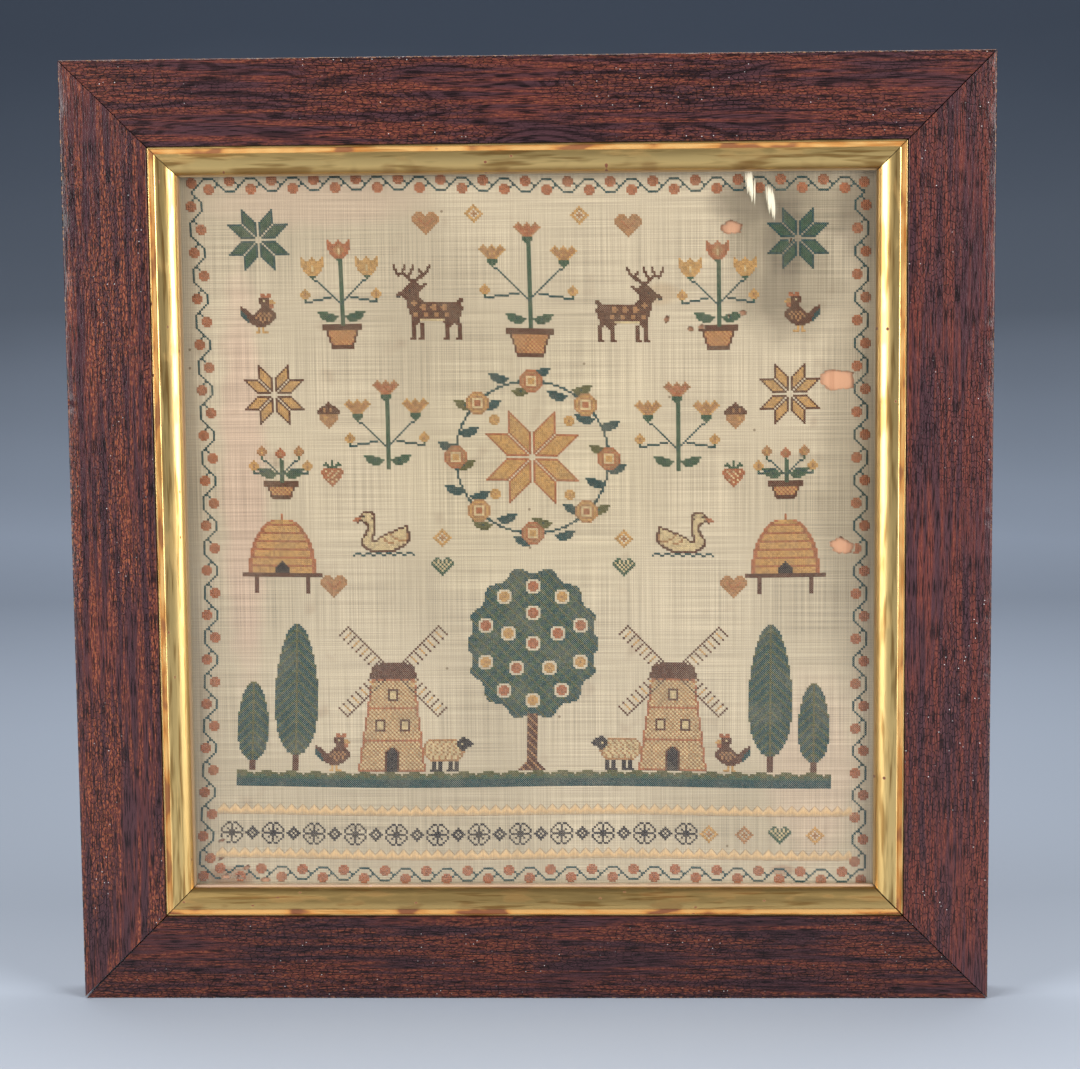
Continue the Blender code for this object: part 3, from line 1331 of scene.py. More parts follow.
        # The grey serves real stains and, along the right edge, a painted shadow of the slip.
        grey_stain_and_shade, tan, cream = srgb(136, 123, 102), srgb(160, 136, 106), srgb(184, 168, 140)
        rows = (
            (-136, 250, 15, 130, pink, 0.6),
            (-100, 380, 70, 16, pink, 0.35),
            (134, 110, 30, 60, pink, 0.35),
            (0, 250, 90, 100, cream, 0.5),
            (120, 350, 36, 46, grey_stain_and_shade, 0.8),
            (122, 376, 50, 22, grey_stain_and_shade, 0.85),
            (108, 380, 34, 15, smoke, 0.35),
            (121, 361, 17, 24, smoke, 0.4),
            (119, 335, 14, 28, smoke, 0.3),
            (156, 372, 16, 36, smoke, 0.4),
            # Partly real discolouration and partly painted shadow: the grey band along the right edge, next
            # to the slip.
            (152, 250, 20, 130, grey_stain_and_shade, 0.55),
            (-146, 57, 16, 7, rust, 0.6),
            # A small black-brown spot, laid like the stains.
            (128.8, 261, 2.2, 3, smoke, 0.7),
            (-78, 118, 1.8, 1.6, rust, 0.8),
            (62, 336, 12, 7, tan, 0.5),
            (120, 60, 8, 4, rust, 0.5),
        )
        return tuple(Stain(x * MM, z * MM, across * MM, up * MM, *look) for x, z, across, up, *look in rows)


class Thread(Enum):
    """The sewing threads, each with its letter in the charts and its faded colour."""

    TEAL = ("b", srgb(26, 66, 66))
    GREEN = ("g", srgb(52, 80, 58))
    OLIVE = ("o", srgb(88, 86, 48))
    GOLD = ("y", srgb(186, 142, 84))
    TAN = ("t", srgb(164, 118, 76))
    TERRACOTTA = ("r", srgb(162, 97, 62))
    BROWN = ("n", srgb(88, 48, 30))
    BLACK = ("k", srgb(38, 30, 33))
    CREAM = ("c", srgb(200, 176, 132))

    @property
    def letter(self) -> str:
        """The thread's letter in a chart."""
        return self.value[0]

    @property
    def colour(self) -> Colour:
        """The thread's colour."""
        return self.value[1]


THREADS = {thread.letter: thread for thread in Thread}


class Chart(Enum):
    """Motifs, charted with one letter for a stitch and a dot for bare linen."""

    BERRY = """
    .rrr.
    rrrrr
    rrrrr
    rrrrr
    .rrr."""
    FRUIT = """
    .yyy.
    yyyyy
    yytyy
    yyyyy
    .yyy."""
    LEAF = """
    .....ggggg
    ..ggggggg.
    ggggbgggg.
    .ggggggg..
    ..gggg...."""
    TULIP = """
    r....r....r
    rr..rrr..rr
    rrrrrtrrrrr
    rrrrtttrrrr
    rrrttcttrrr
    .rrttcttrr.
    .rrrtctrrr.
    ..rrrtrrr..
    ...rrrrr...
    ....ggg....
    .....g....."""
    BUD = """
    ..r..
    .rrr.
    rrtrr
    rrtrr
    .rrr.
    ..g..
    ..g.."""
    CARNATION = """
    ..t...t...t..
    .trt.trt.trt.
    trrrtrrrtrrrt
    .trrrrrrrrrt.
    ..trrtrtrrt..
    ...trrrrrt...
    ....trrrt....
    ....ggggg....
    ....ggggg....
    .....ggg.....
    ......g......"""
    ROSE = """
    ...rrrrr...
    ..rtttttr..
    .rtrrrrrtr.
    rtrcccccrtr
    rtrcyyycrtr
    rtrcyyycrtr
    rtrcyyycrtr
    rtrcccccrtr
    .rtrrrrrtr.
    ..rtttttr..
    ...rrrrr..."""
    HEART = """
    ..rrr...rrr..
    .rrrrr.rrrrr.
    rrrrrrrrrrrrr
    rrrtrrrrrtrrr
    rrrrtrrrtrrrr
    .rrrrtrtrrrr.
    ..rrrrtrrrr..
    ...rrrrrrr...
    ....rrrrr....
    .....rrr.....
    ......r......"""
    SMALL_HEART = """
    ..gg...gg..
    .ggcg.gcgg.
    gcgcgcgcgcg
    ggcgcgcgcgg
    .ggcgcgcgg.
    ..ggcgcgg..
    ...ggcgg...
    ....ggg....
    .....g....."""
    ACORN = """
    .....n.....
    ....nnn....
    ..nnnnnnn..
    .nntnntnnn.
    nnntnntnnnn
    nnnnnnnnnnn
    .ttttttttt.
    .ttyyttttt.
    .ttytttttt.
    ..ttttttt..
    ...ttttt...
    ....ttt....
    .....t....."""
    STRAWBERRY = """
    .....g.....
    ..g..g..g..
    .ggg.g.ggg.
    ...ggggg...
    .rrrrrrrrr.
    rrcrrcrrcrr
    rrrrcrrcrrr
    .rrcrrcrrr.
    .rrrrcrrrr.
    ..rcrrrcr..
    ...rrcrr...
    ....rrr....
    .....r....."""
    DIAMOND = """
    ....y....
    ...yyy...
    ..yy.yy..
    .yy.t.yy.
    yy.ttt.yy
    .yy.t.yy.
    ..yy.yy..
    ...yyy...
    ....y...."""
    QUATREFOIL = """
    ...kk.kk...
    ..k..k..k..
    .k...k...k.
    k..k.k.k..k
    k...kkk...k
    .kkkkkkkkk.
    k...kkk...k
    k..k.k.k..k
    .k...k...k.
    ..k..k..k..
    ...kk.kk..."""
    LOZENGE = """
    ...k...
    ..kkk..
    .kk.kk.
    kk.k.kk
    .kk.kk.
    ..kkk..
    ...k..."""
    STAG = """
    .n....n...n.......n................
    .n....n...n......nn................
    .nn..nn..nn..n...n.................
    ..n..n...n...nn.nn.................
    ..nnnnn.nn....nnn..................
    ...n..nnn....nnn...................
    .......nn...nnn....................
    ........nnnnn......................
    .........nnn.......................
    ........nnnnn..nn..................
    .......nnnnnnnnn...................
    ......nnnnnnnnn....................
    .....nnnknnnnn.....................
    ...nnnnnnnnnn......................
    ..nnnnnnnnnnn......................
    ..kk.nnnnnnnn......................
    ......nnnnnnnn..................nn.
    .......nnntnnnn................nnn.
    .......nntttnnnnnnnnnnnnnnnnnnnnn..
    .......nnntnnnttnnnttnnnttnnnnnnn..
    .......nnnnnntttnntttnntttnnnnnnnn.
    ........nnnnnnttnnnttnnnttnnnnnnnn.
    ........nnnnnnnnnnnnnnnnnnnnnnnnn..
    ........nnttnnnttnnnttnnnttnnnnnn..
    .........nttnnnttnnnttnnnttnnnnnn..
    .........nnnnnnnnnnnnnnnnnnnnnnn...
    .........nnnnccccccccccccnnnnnnn...
    .........nnnn...........nnnnnnnn...
    .........nnn.nn..........nnnn.nnn..
    .........nn..nn..........nnn...nn..
    .........nn..nn..........nn....nn..
    .........nn..nn..........nn....nn..
    .........nn..nn..........nn....nn..
    .........nn..nn..........nn....nn..
    .........nn..nn..........nn....nn..
    ........nnn.nnn.........nnn...nnn.."""
    SWAN = """
    .....nnnnn....................
    ....nccccnn...................
    ...nnkccccn...................
    .rrrcccccnn...................
    rrrnncccccn...................
    ..n..nncccn...................
    ......nnccn...................
    .......nccn..............nn...
    .......nccn...........nnncn...
    ......nnccn.........nnccccn...
    ......ncccn......nnnccccccnn..
    .....nnccnn....nnctccccccctn..
    .....ncccn...nncccctcccccctn..
    ....nccccn..ncctccccttcccctn..
    ....nccccnnncccttcccccttttnn..
    ....ncccccccccccctttccccccn...
    ....nnccccccccccccccccccnn....
    .....nncccccccccccccccnnn.....
    ......nnncccccccccccnnn.......
    ........nnnnnnnnnnnnn.........
    .bbb..bbb..bbb..bbb..bbb..bbb.
    b...bb...bb...bb...bb...bb...b"""
    SHEEP = """
    ..................kk....
    ..tttttttttttttt.kkkkk..
    .tcctcctcctcctcckkkkkkk.
    tcctcctcctcctcctkkckkkkk
    tctcctcctcctcctckkkkkkk.
    tcctcctcctcctcctckkkk...
    tctcctcctcctcctcctkk....
    tcctcctcctcctcctcctt....
    tctcctcctcctcctcctt.....
    .tcctcctcctcctcctct.....
    ..tctcctcctcctcctt......
    ...tttttttttttttt.......
    ....kk.kk...kk.kk.......
    ....kk.kk...kk.kk.......
    ....kk.kk...kk.kk.......
    ....kk.kk...kk.kk.......
    ...kkkkkk..kkkkkk......."""
    HEN = """
    ..........rr.rr.....
    ..........rrrrr.....
    .........nnnnn......
    .........nncnnyy....
    .........nnnnnyyy...
    ..........nnnnrr....
    n.........nnnnrr....
    nnn......nnnnnn.....
    bnnn....nnnnnnnn....
    bbnnn..nntntntnnn...
    bbbnnnnntntntntnn...
    .bbnnnntntntntnnn...
    ..bbnnnnntntntnn....
    ...bnnnnnntnnnn.....
    .....nnnnnnnnn......
    .......nnnnn........
    ........y.y.........
    ........y.y.........
    .......yy.yyy......."""

    def cells(self) -> Iterator[tuple[int, int, Thread]]:
        """Reads the chart.

        Yields:
            A column from the chart's middle, a row up from its foot, and a thread.
        """
        rows = self.value.split()
        middle = len(rows[0]) // 2
        for height, line in enumerate(reversed(rows)):
            for column, letter in enumerate(line):
                if letter != ".":
                    yield column - middle, height, THREADS[letter]


@dataclass
class Pattern:
    """The counted pattern: which thread fills each cell of the linen's grid.

    All sizes are counted in cells. The vine rises to its crest and dips to its base once a
    period, with a berry low at each crest's foot and one high in each dip.
    """

    cells: dict[tuple[int, int], Thread] = field(default_factory=dict)
    half_width: int = 158
    level_period: int = 20
    upright_period: int = 22
    vine_foot: int = 1
    vine_head: int = 334
    crest: int = 6
    shoulder: int = 8
    stem_step: int = 4
    low_berry: int = 1
    high_berry: int = 5
    ground_row: int = 48
    ground_span: tuple[int, int] = (-143, 145)
    turf: int = 8

    def stitch(self, column: float, row: float, thread: Thread) -> None:
        """Fills one cell.

        Args:
            column: The cell's column, 0 in the middle.
            row: The cell's row, 0 at the sight edge.
            thread: The thread.
        """
        self.cells[round(column), round(row)] = thread

    def clear(self, column: float, row: float) -> None:
        """Unpicks one cell."""
        self.cells.pop((round(column), round(row)), None)

    def stamp(self, chart: Chart, column: int, row: int, flip: bool = False, swap: str = "") -> None:
        """Works a chart with its foot's middle at a cell.

        Args:
            chart: The motif.
            column: The middle column.
            row: The lowest row.
            flip: Whether it faces the other way.
            swap: Pairs of letters, each a chart's thread and the one to use for it.
        """
        other = dict(zip(swap[::2], swap[1::2], strict=True))
        for across, up, thread in chart.cells():
            used = THREADS[other.get(thread.letter, thread.letter)]
            self.stitch(column + (-across if flip else across), row + up, used)

    def pair(self, chart: Chart, column: int, row: int, swap: str = "") -> None:
        """Works a chart on both sides of the middle, the right one turned round."""
        self.stamp(chart, -column, row, False, swap)
        self.stamp(chart, column, row, True, swap)

    def line(self, start: Point, end: Point, thread: Thread) -> None:
        """Works a straight line of stitches.

        Args:
            start: The first cell.
            end: The last cell.
            thread: The thread.
        """
        steps = max(abs(end[0] - start[0]), abs(end[1] - start[1]), 1)
        for step in range(int(steps) + 1):
            t = step / steps
            self.stitch(start[0] + (end[0] - start[0]) * t, start[1] + (end[1] - start[1]) * t, thread)

    def work(self) -> None:
        """Works the whole pattern."""
        self._border()
        self._ground()
        self._orchard()
        self._middle()
        self._top()
        self._lower_band()

    def _border(self) -> None:
        """Works the undulating vine and its berries along the four sides."""
        for row, inward in ((self.vine_foot, 1), (self.vine_head + 9, -1)):
            self._vine(Grain.LEVEL, row, inward)
        for column, inward in ((-self.half_width - 2, 1), (self.half_width + 3, -1)):
            self._vine(Grain.UPRIGHT, column, inward)
            for row in (0, self.vine_head + 5):
                self.stamp(Chart.BERRY, column + 2 * inward, row)

    def _vine(self, way: Grain, base: int, inward: int) -> None:
        """Works one side of the border.

        Args:
            way: Which way the side runs.
            base: The row or the column that the vine dips to.
            inward: +1 where its height counts up from there and -1 where it counts down.
        """
        level = way is Grain.LEVEL
        period = self.level_period if level else self.upright_period
        half = period // 2
        across = range(-self.half_width, self.half_width + 2)
        upward = range(self.vine_foot + 6, self.vine_head + 3)

        def stitch(step: int, height: int, thread: Thread) -> None:
            """Fills the cell a step along the side and a height in from its base."""
            cell = (step, base + inward * height)
            self.stitch(*(cell if level else reversed(cell)), thread)

        for step in across if level else upward:
            from_crest = abs((step + half) % period - half)
            height = min(self.crest, max(0, self.shoulder - from_crest))
            stitch(step, height, Thread.TEAL)
            phase = step % period
            if phase in (self.stem_step, half + self.stem_step):
                turn = 1 if phase == self.stem_step else -1
                for stem in (1, 2):
                    stitch(step - stem + 1, height - turn * stem, Thread.TEAL)
            if phase in (0, half):
                centre = self.low_berry if phase == 0 else self.high_berry
                for sideways, up, thread in Chart.BERRY.cells():
                    stitch(step + sideways, centre + up - 2, thread)

    def _ground(self) -> None:
        """Works the grassy strip that the orchard stands on."""
        for column in range(*self.ground_span):
            for row in range(self.turf):
                if row < 4:
                    thread = Thread.TEAL
                elif row == 4 or (row == 5 and column % 6 < 3):
                    thread = Thread.GREEN
                else:
                    thread = Thread.OLIVE
                scallop = self.turf - abs((column + 3) % 12 - 6) // 3
                if row < scallop:
                    self.stitch(column, self.ground_row + row, thread)

    def _orchard(self) -> None:
        """Works what stands on the ground: trees, mills, sheep and hens."""
        foot = self.ground_row + self.turf
        self._round_tree(0, foot, 31, 36, 26)
        for side in (-1, 1):
            self._windmill(side * 68, foot)
            self._poplar(side * 115, foot, 10, 32)
            self._poplar(side * 136, foot, 7, 19)
        self.pair(Chart.SHEEP, 40, foot)
        self.pair(Chart.HEN, 95, foot)

    def _round_tree(self, column: int, foot: int, half_width: int, half_height: int, trunk: int) -> None:
        """Works a round fruit tree.

        Args:
            column: Its middle.
            foot: The row it stands on.
            half_width: Half of its crown's width.
            half_height: Half of its crown's height.
            trunk: How much of the trunk shows.
        """
        for row in range(trunk + 8):
            spread = 2 + max(0, 4 - row)
            for across in range(-spread, spread + 1):
                thread = Thread.TAN if (across + row) % 4 == 0 else Thread.BROWN
                self.stitch(column + across, foot + row, thread)
        centre = foot + trunk + half_height
        for up in range(-half_height, half_height + 1):
            for across in range(-half_width, half_width + 1):
                angle = math.atan2(up, across)
                edge = 1 + 0.045 * math.cos(14 * angle)
                reach = math.hypot(across / half_width, up / half_height)
                if reach > edge:
                    continue
                weave = (across - up) % 6 < 3
                thread = Thread.TEAL if weave or reach > edge - 0.08 else Thread.GREEN
                if (across + up) % 6 == 0:
                    thread = Thread.OLIVE
                self.stitch(column + across, centre + up, thread)
        for ring, count in ((0.0, 1), (0.42, 5), (0.78, 10)):
            for number in range(count):
                angle = 2 * math.pi * number / count + math.pi / 2
                across = round(ring * half_width * math.cos(angle))
                up = round(ring * half_height * math.sin(angle))
                self._fruit(column + across, centre + up, number % 2 == 0)

    def _fruit(self, column: int, row: int, ripe: bool) -> None:
        """Works a fruit with a little bare linen round it.

        Args:
            column: Its middle column.
            row: Its middle row.
            ripe: Whether it is red and not yellow.
        """
        for across in range(-3, 4):
            for up in range(-3, 4):
                if abs(across) + abs(up) < 6:
                    self.clear(column + across, row + up)
        self.stamp(Chart.BERRY if ripe else Chart.FRUIT, column, row - 2)

    def _poplar(self, column: int, foot: int, half_width: int, half_height: int) -> None:
        """Works a narrow tree of two greens.

        Args:
            column: Its middle.
            foot: The row it stands on.
            half_width: Half of its width.
            half_height: Half of its crown's height.
        """
        stem = max(5, half_height // 4)
        for row in range(stem + 2):
            for across in range(-1, 2):
                self.stitch(column + across, foot + row, Thread.BROWN)
        centre = foot + stem + half_height
        for up in range(-half_height, half_height + 1):
            taper = 1 - 0.18 * up / half_height
            wide = half_width * math.sqrt(max(0, 1 - (up / (half_height + 0.5)) ** 2)) * taper
            for across in range(-round(wide), round(wide) + 1):
                vein = (up + abs(across)) % 5
                thread = Thread.GREEN if vein == 1 else Thread.TEAL
                if vein == 0 or across == 0:
                    thread = Thread.OLIVE
                self.stitch(column + across, centre + up, thread)

    def _windmill(self, column: int, foot: int) -> None:
        """Works a smock mill with latticed sails.

        Args:
            column: Its middle.
            foot: The row it stands on.
        """
        height, cap, sail = 46, 8, 22
        courses = (0, 15, 31, height - 1)
        for row in range(height):
            wide = round(16 - 6 * row / height)
            for across in range(-wide, wide + 1):
                edge = abs(across) == wide or row in courses
                brick = Thread.CREAM if (across + row) % 2 == 0 else Thread.TAN
                self.stitch(column + across, foot + row, Thread.TERRACOTTA if edge else brick)
        for row in range(12):
            wide = 3 if row < 9 else 12 - row
            for across in range(-wide, wide + 1):
                self.stitch(column + across, foot + row, Thread.BLACK if abs(across) < wide else Thread.BROWN)
        for row, offset in ((20, -6), (20, 6), (35, 0)):
            for across in range(-2, 3):
                for up in range(6):
                    thread = Thread.CREAM if abs(across) < 2 and 0 < up < 5 else Thread.BROWN
                    self.stitch(column + offset + across, foot + row + up, thread)
        for up in range(cap):
            wide = round(11 * math.sqrt(1 - (up / (cap + 0.5)) ** 2))
            for across in range(-wide, wide + 1):
                self.stitch(column + across, foot + height + up, Thread.BROWN)
        hub = (column, foot + height + 3)
        for right, up in ((1, 1), (1, -1), (-1, 1), (-1, -1)):
            tip = (hub[0] + sail * right, hub[1] + sail * up)
            self.line(hub, tip, Thread.BROWN)
            for rung in range(6, sail + 1, 2):
                for across in range(1, 5):
                    cell = (hub[0] + (rung + across) * right, hub[1] + (rung - across) * up)
                    self.stitch(*cell, Thread.BROWN if across == 4 or rung % 4 == 2 else Thread.GOLD)

    def _sprig(self, column: int, foot: int, height: int, flower: Chart, reach: int = 13) -> None:
        """Works a flower with two pairs of side shoots and leaves.

        Args:
            column: Its stem's column.
            foot: Where the stem starts.
            height: The stem's height.
            flower: The chart at the top and on the shoots.
            reach: How far the shoots spread.
        """
        for half in (0, 1):
            self.line((column + half, foot), (column + half, foot + height), Thread.GREEN)
        self.stamp(flower, column, foot + height)
        for side in (-1, 1):
            fork = foot + height // 3
            bend = (column + side * (reach - 3), fork + reach - 3)
            tip = (bend[0] + side * 3, bend[1] + 2)
            self.line((column, fork), bend, Thread.TEAL)
            self.line(bend, tip, Thread.TEAL)
            self.stamp(flower, *tip, swap="ryty" if flower is Chart.TULIP else "rtty")
            self.stamp(Chart.LEAF, column + side * 7, foot + 2, side < 0)
            self.stamp(Chart.BUD, column + side * (reach + 4), fork + 1, swap="ry")
            self.line((column + side * 5, fork + 3), (column + side * (reach + 4), fork + 1), Thread.TEAL)

    def _pot(self, column: int, foot: int, half_width: int, height: int) -> None:
        """Works a chequered flower pot.

        Args:
            column: Its middle.
            foot: Its lowest row.
            half_width: Half of its rim's width.
            height: Its height.
        """
        for row in range(height):
            rim = row > height - 4
            wide = half_width if rim else round(half_width * (0.55 + 0.35 * row / height))
            for across in range(-wide, wide + 1):
                edge = rim or abs(across) == wide or row < 2
                fill = Thread.GOLD if (across + row) % 2 else Thread.TERRACOTTA
                self.stitch(column + across, foot + row, Thread.BROWN if edge else fill)

    def _middle(self) -> None:
        """Works the great rose wreath and what flanks it."""
        centre = 209
        self._star(0, centre, 11, Thread.TERRACOTTA, Thread.GOLD)
        self._wreath(0, centre, 37)
        for side in (-1, 1):
            self._sprig(side * 70, 204, 32, Chart.CARNATION, 14)
            self._star(side * 124, 240, 7, Thread.BROWN, Thread.GOLD)
            self._beehive(side * 122, 144)
            self._pot(side * 122, 190, 8, 9)
            self._sprig(side * 122, 198, 10, Chart.BUD, 9)
        self.pair(Chart.SWAN, 72, 162)
        self.pair(Chart.STRAWBERRY, 97, 196)
        self.pair(Chart.ACORN, 98, 224)
        self.pair(Chart.HEART, 97, 142, "rttr")
        self.pair(Chart.SMALL_HEART, 44, 152)
        self.pair(Chart.DIAMOND, 44, 166)

    def _wreath(self, column: int, row: int, radius: int) -> None:
        """Works a ring of leaves and roses.

        Args:
            column: The middle column.
            row: The middle row.
            radius: The ring's radius.
        """
        for step in range(360):
            angle = math.radians(step)
            self.stitch(column + radius * math.cos(angle), row + radius * math.sin(angle), Thread.TEAL)
        for number in range(24):
            angle = 2 * math.pi * (number + 0.5) / 24
            reach = radius + (4 if number % 2 else -5)
            place = (column + round(reach * math.cos(angle)), row + round(reach * math.sin(angle)) - 2)
            outward = math.cos(angle) * (1 if number % 2 else -1) < 0
            self.stamp(Chart.LEAF, *place, outward, "gb" if number % 3 else "go")
        for number in range(8):
            angle = 2 * math.pi * number / 8
            place = (column + round(radius * math.cos(angle)), row + round(radius * math.sin(angle)) - 5)
            self.stamp(Chart.ROSE, *place, swap="rttyyr" if number % 2 else "")
        for side in (-1, 1):
            for up in (-1, 1):
                self.stamp(Chart.FRUIT, column + side * 18, row + up * 18 - 2)

    def _star(self, column: int, row: int, petal: int, edge: Thread, inside: Thread) -> None:
        """Works an eight-pointed star.

        Args:
            column: The middle column.
            row: The middle row.
            petal: The length of a petal's side.
            edge: The petals' outline.
            inside: What fills them.
        """
        reach = 2 * petal
        for across in range(-reach, reach + 1):
            for up in range(-reach, reach + 1):
                short, long = sorted((abs(across), abs(up)))
                if 1 <= short <= petal and short + 1 <= long <= short + petal:
                    rim = short in (1, petal) or long in (short + 1, short + petal)
                    self.stitch(column + across, row + up, edge if rim else inside)

    def _beehive(self, column: int, foot: int) -> None:
        """Works a straw beehive on its bench.

        Args:
            column: Its middle.
            foot: The row its bench stands on.
        """
        bench, straw = 10, 26
        for leg in (-13, -12, 12, 13):
            self.line((column + leg, foot), (column + leg, foot + bench - 3), Thread.BROWN)
        for row in (foot + bench - 2, foot + bench - 1):
            self.line((column - 19, row), (column + 19, row), Thread.BROWN)
        for up in range(straw):
            wide = round(16 * math.sqrt(1 - (up / (straw + 0.5)) ** 2))
            for across in range(-wide, wide + 1):
                thread = Thread.TERRACOTTA if up % 4 == 3 or abs(across) >= wide - 1 else Thread.GOLD
                self.stitch(column + across, foot + bench + up, thread)
        for across in range(-3, 4):
            for up in range(6 - abs(across)):
                self.stitch(column + across, foot + bench + up, Thread.BLACK)
        knob = foot + bench + straw
        self.line((column, knob), (column, knob + 2), Thread.TERRACOTTA)

    def _top(self) -> None:
        """Works the row of stags and flower pots along the top."""
        self._pot(0, 258, 11, 14)
        self._sprig(0, 272, 40, Chart.CARNATION, 17)
        self.pair(Chart.STAG, 48, 266)
        self.pair(Chart.HEART, 48, 316, "rttr")
        for side in (-1, 1):
            self._pot(side * 90, 262, 9, 12)
            self._sprig(side * 90, 273, 30, Chart.TULIP)
            self._star(side * 128, 314, 7, Thread.TEAL, Thread.GREEN)
        self.pair(Chart.HEN, 128, 270)
        self.pair(Chart.DIAMOND, 25, 322)

    def _lower_band(self) -> None:
        """Works the small dark figures and gold ones between the two satin bands."""
        for number, column in enumerate(range(-145, 76, 10)):
            if number % 2:
                self.stamp(Chart.LOZENGE, column, 21)
            else:
                self.stamp(Chart.QUATREFOIL, column, 19)
        for column in (86, 103, 137):
            self.stamp(Chart.DIAMOND, column, 20, swap="yt" if column == 103 else "")
        self.stamp(Chart.SMALL_HEART, 120, 20)


@dataclass(frozen=True)
class Repeat:
    """One copy of a small sewn shape."""

    place: Place
    turn: float
    size: Place
    shade: float


@dataclass
class Needlework:
    """The raised sewing on the linen: crosses, satin teeth and loose threads.

    The grid's pull, dip and wave, the bands and the teeth are counted in cells. The spans of
    a strand's size and shade are shares of its usual ones, and turns are degrees.
    """

    linen: LinenSheet
    pitch: float = 0.98 * MM
    strand_width: float = 0.54 * MM
    strand_height: float = 0.2 * MM
    shift: float = 1.4 * MM
    half_columns: int = 160
    rows: int = 345
    pull: float = 4.2
    waist: float = 190
    waist_reach: float = 150
    dip: Point = (0.5, 1.2)
    wave: float = 0.6
    wave_lengths: Point = (31, 90)
    hem: float = 1.15
    arch: Point = (-0.35, 0.25)
    cross_reach: float = 0.96
    cross_lift: float = 0.3
    cross_turn: float = 5
    cross_size: Span = (0.92, 1.08)
    cross_height: Span = (0.8, 1.15)
    bands: Point = (33.4, 11.4)
    band_start: float = -152.0
    band_end: float = 155.0
    band_height: float = 2.5
    tooth: float = 5.5
    tooth_height: float = 2.9
    satin_step: float = 0.55
    satin_uneven: float = 0.1
    satin_width: Span = (1.05, 1.2)
    satin_thickness: Span = (0.8, 1.1)
    satin_turn: float = 2
    satin_shade: Span = (0.6, 1.1)
    foot_line: Point = (0.45, 0.7)
    tooth_line: Point = (0.4, 0.9)
    wide_hole: float = 8 * MM
    fray_gap: float = 0.35
    fray_length: Span = (0.6, 1.5)
    fray_width: Span = (0.4, 0.7)
    fray_thickness: float = 0.8
    fray_swing: float = 0.6
    fray_lift: float = 0.08 * MM
    dice: random.Random = field(default_factory=lambda: random.Random(SEED))
    pieces: list[bpy.types.Object] = field(default_factory=list)

    def lie(self, column: float, row: float) -> Place:
        """Where a cell lies, with the cloth pulled a little out of square.

        Args:
            column: The cell's column.
            row: The cell's row.

        Returns:
            The point on the cloth's face.
        """
        leftness = (1 - column / self.half_columns) / 2
        pulled = -self.pull * leftness * ((row - self.waist) / self.waist_reach) ** 2
        waved = self.wave * math.sin(column / self.wave_lengths[0] + row / self.wave_lengths[1])
        dipped = -(self.dip[0] + self.dip[1] * row / self.rows) * column / self.half_columns + waved
        x = (column + pulled) * self.pitch + self.shift
        z = SIGHT + (row + dipped) * self.pitch
        return x, self.linen.front + self.linen.rise(x, z), z

    def build(self) -> None:
        """Sews the whole pattern."""
        pattern = Pattern()
        pattern.work()
        cross = self._master("cross_stitch", self._cross())
        for thread in Thread:
            repeats = [
                self._cross_at(column, row)
                for (column, row), used in sorted(pattern.cells.items(), key=lambda item: item[0])
                if used is thread and self._sound(column, row)
            ]
            self._sew(f"crosses_{thread.name.lower()}", cross, repeats, thread)
        strand = self._master("satin_strand", self._strand(1))
        self._sew("satin_teeth", strand, list(self._satin()), Thread.CREAM, srgb(196, 164, 122))
        self._sew("satin_edges", strand, list(self._satin_edges()), Thread.TAN, srgb(150, 114, 78))
        self._sew("frayed_threads", strand, list(self._frays()), Thread.TAN, srgb(172, 158, 134))
        for master in (cross, strand):
            bpy.data.objects.remove(master)

    def _sound(self, column: int, row: int) -> bool:
        """Whether there is cloth under a cell.

        Args:
            column: The cell's column.
            row: The cell's row.

        Returns:
            False over a moth hole.
        """
        x, _, z = self.lie(column, row)
        for hole in self.linen.holes:
            middle = (0.5 - hole.belly) * hole.height
            across = (x - hole.x - hole.lean * (z - hole.z)) / (hole.width / 2)
            up = (z - hole.z - middle) / (hole.height / 2)
            if across * across + up * up < self.hem:
                return False
        return True

    def _cross_at(self, column: int, row: int) -> Repeat:
        """One cross stitch, sewn by hand and so never quite square.

        Args:
            column: The cell's column.
            row: The cell's row.

        Returns:
            The stitch.
        """
        dice = self.dice
        turn = math.radians(dice.uniform(-self.cross_turn, self.cross_turn))
        loose = dice.uniform(*self.cross_size)
        size = (loose, dice.uniform(*self.cross_height), loose)
        return Repeat(self.lie(column, row), turn, size, dice.random())

    def _strand(self, length: float, arched: bool = True) -> bmesh.types.BMesh:
        """One strand that stands on the cloth, with a ridge that the shading rounds.

        Args:
            length: The strand's length.
            arched: Whether its middle stands up over its ends.

        Returns:
            The strand, upright, with its middle at the origin.
        """
        shape = bmesh.new()
        radius = self.strand_width / math.sqrt(3)
        ridge_out = Matrix.Rotation(math.pi, 4, "Z")
        bmesh.ops.create_cone(
            shape, cap_ends=True, segments=3, radius1=radius, radius2=radius, depth=length, matrix=ridge_out
        )
        flatten = Matrix.Diagonal((1, self.strand_height / (1.5 * radius), 1, 1))
        bmesh.ops.transform(shape, matrix=flatten, verts=shape.verts)
        if arched:
            sides = [item for item in shape.edges if item.calc_length() > length * LENGTHWISE]
            bmesh.ops.subdivide_edges(shape, edges=sides, cuts=1)
            middle, end = self.arch
            for vert in shape.verts:
                vert.co.y += self.strand_height * (middle if abs(vert.co.z) < length / 4 else end)
        return shape

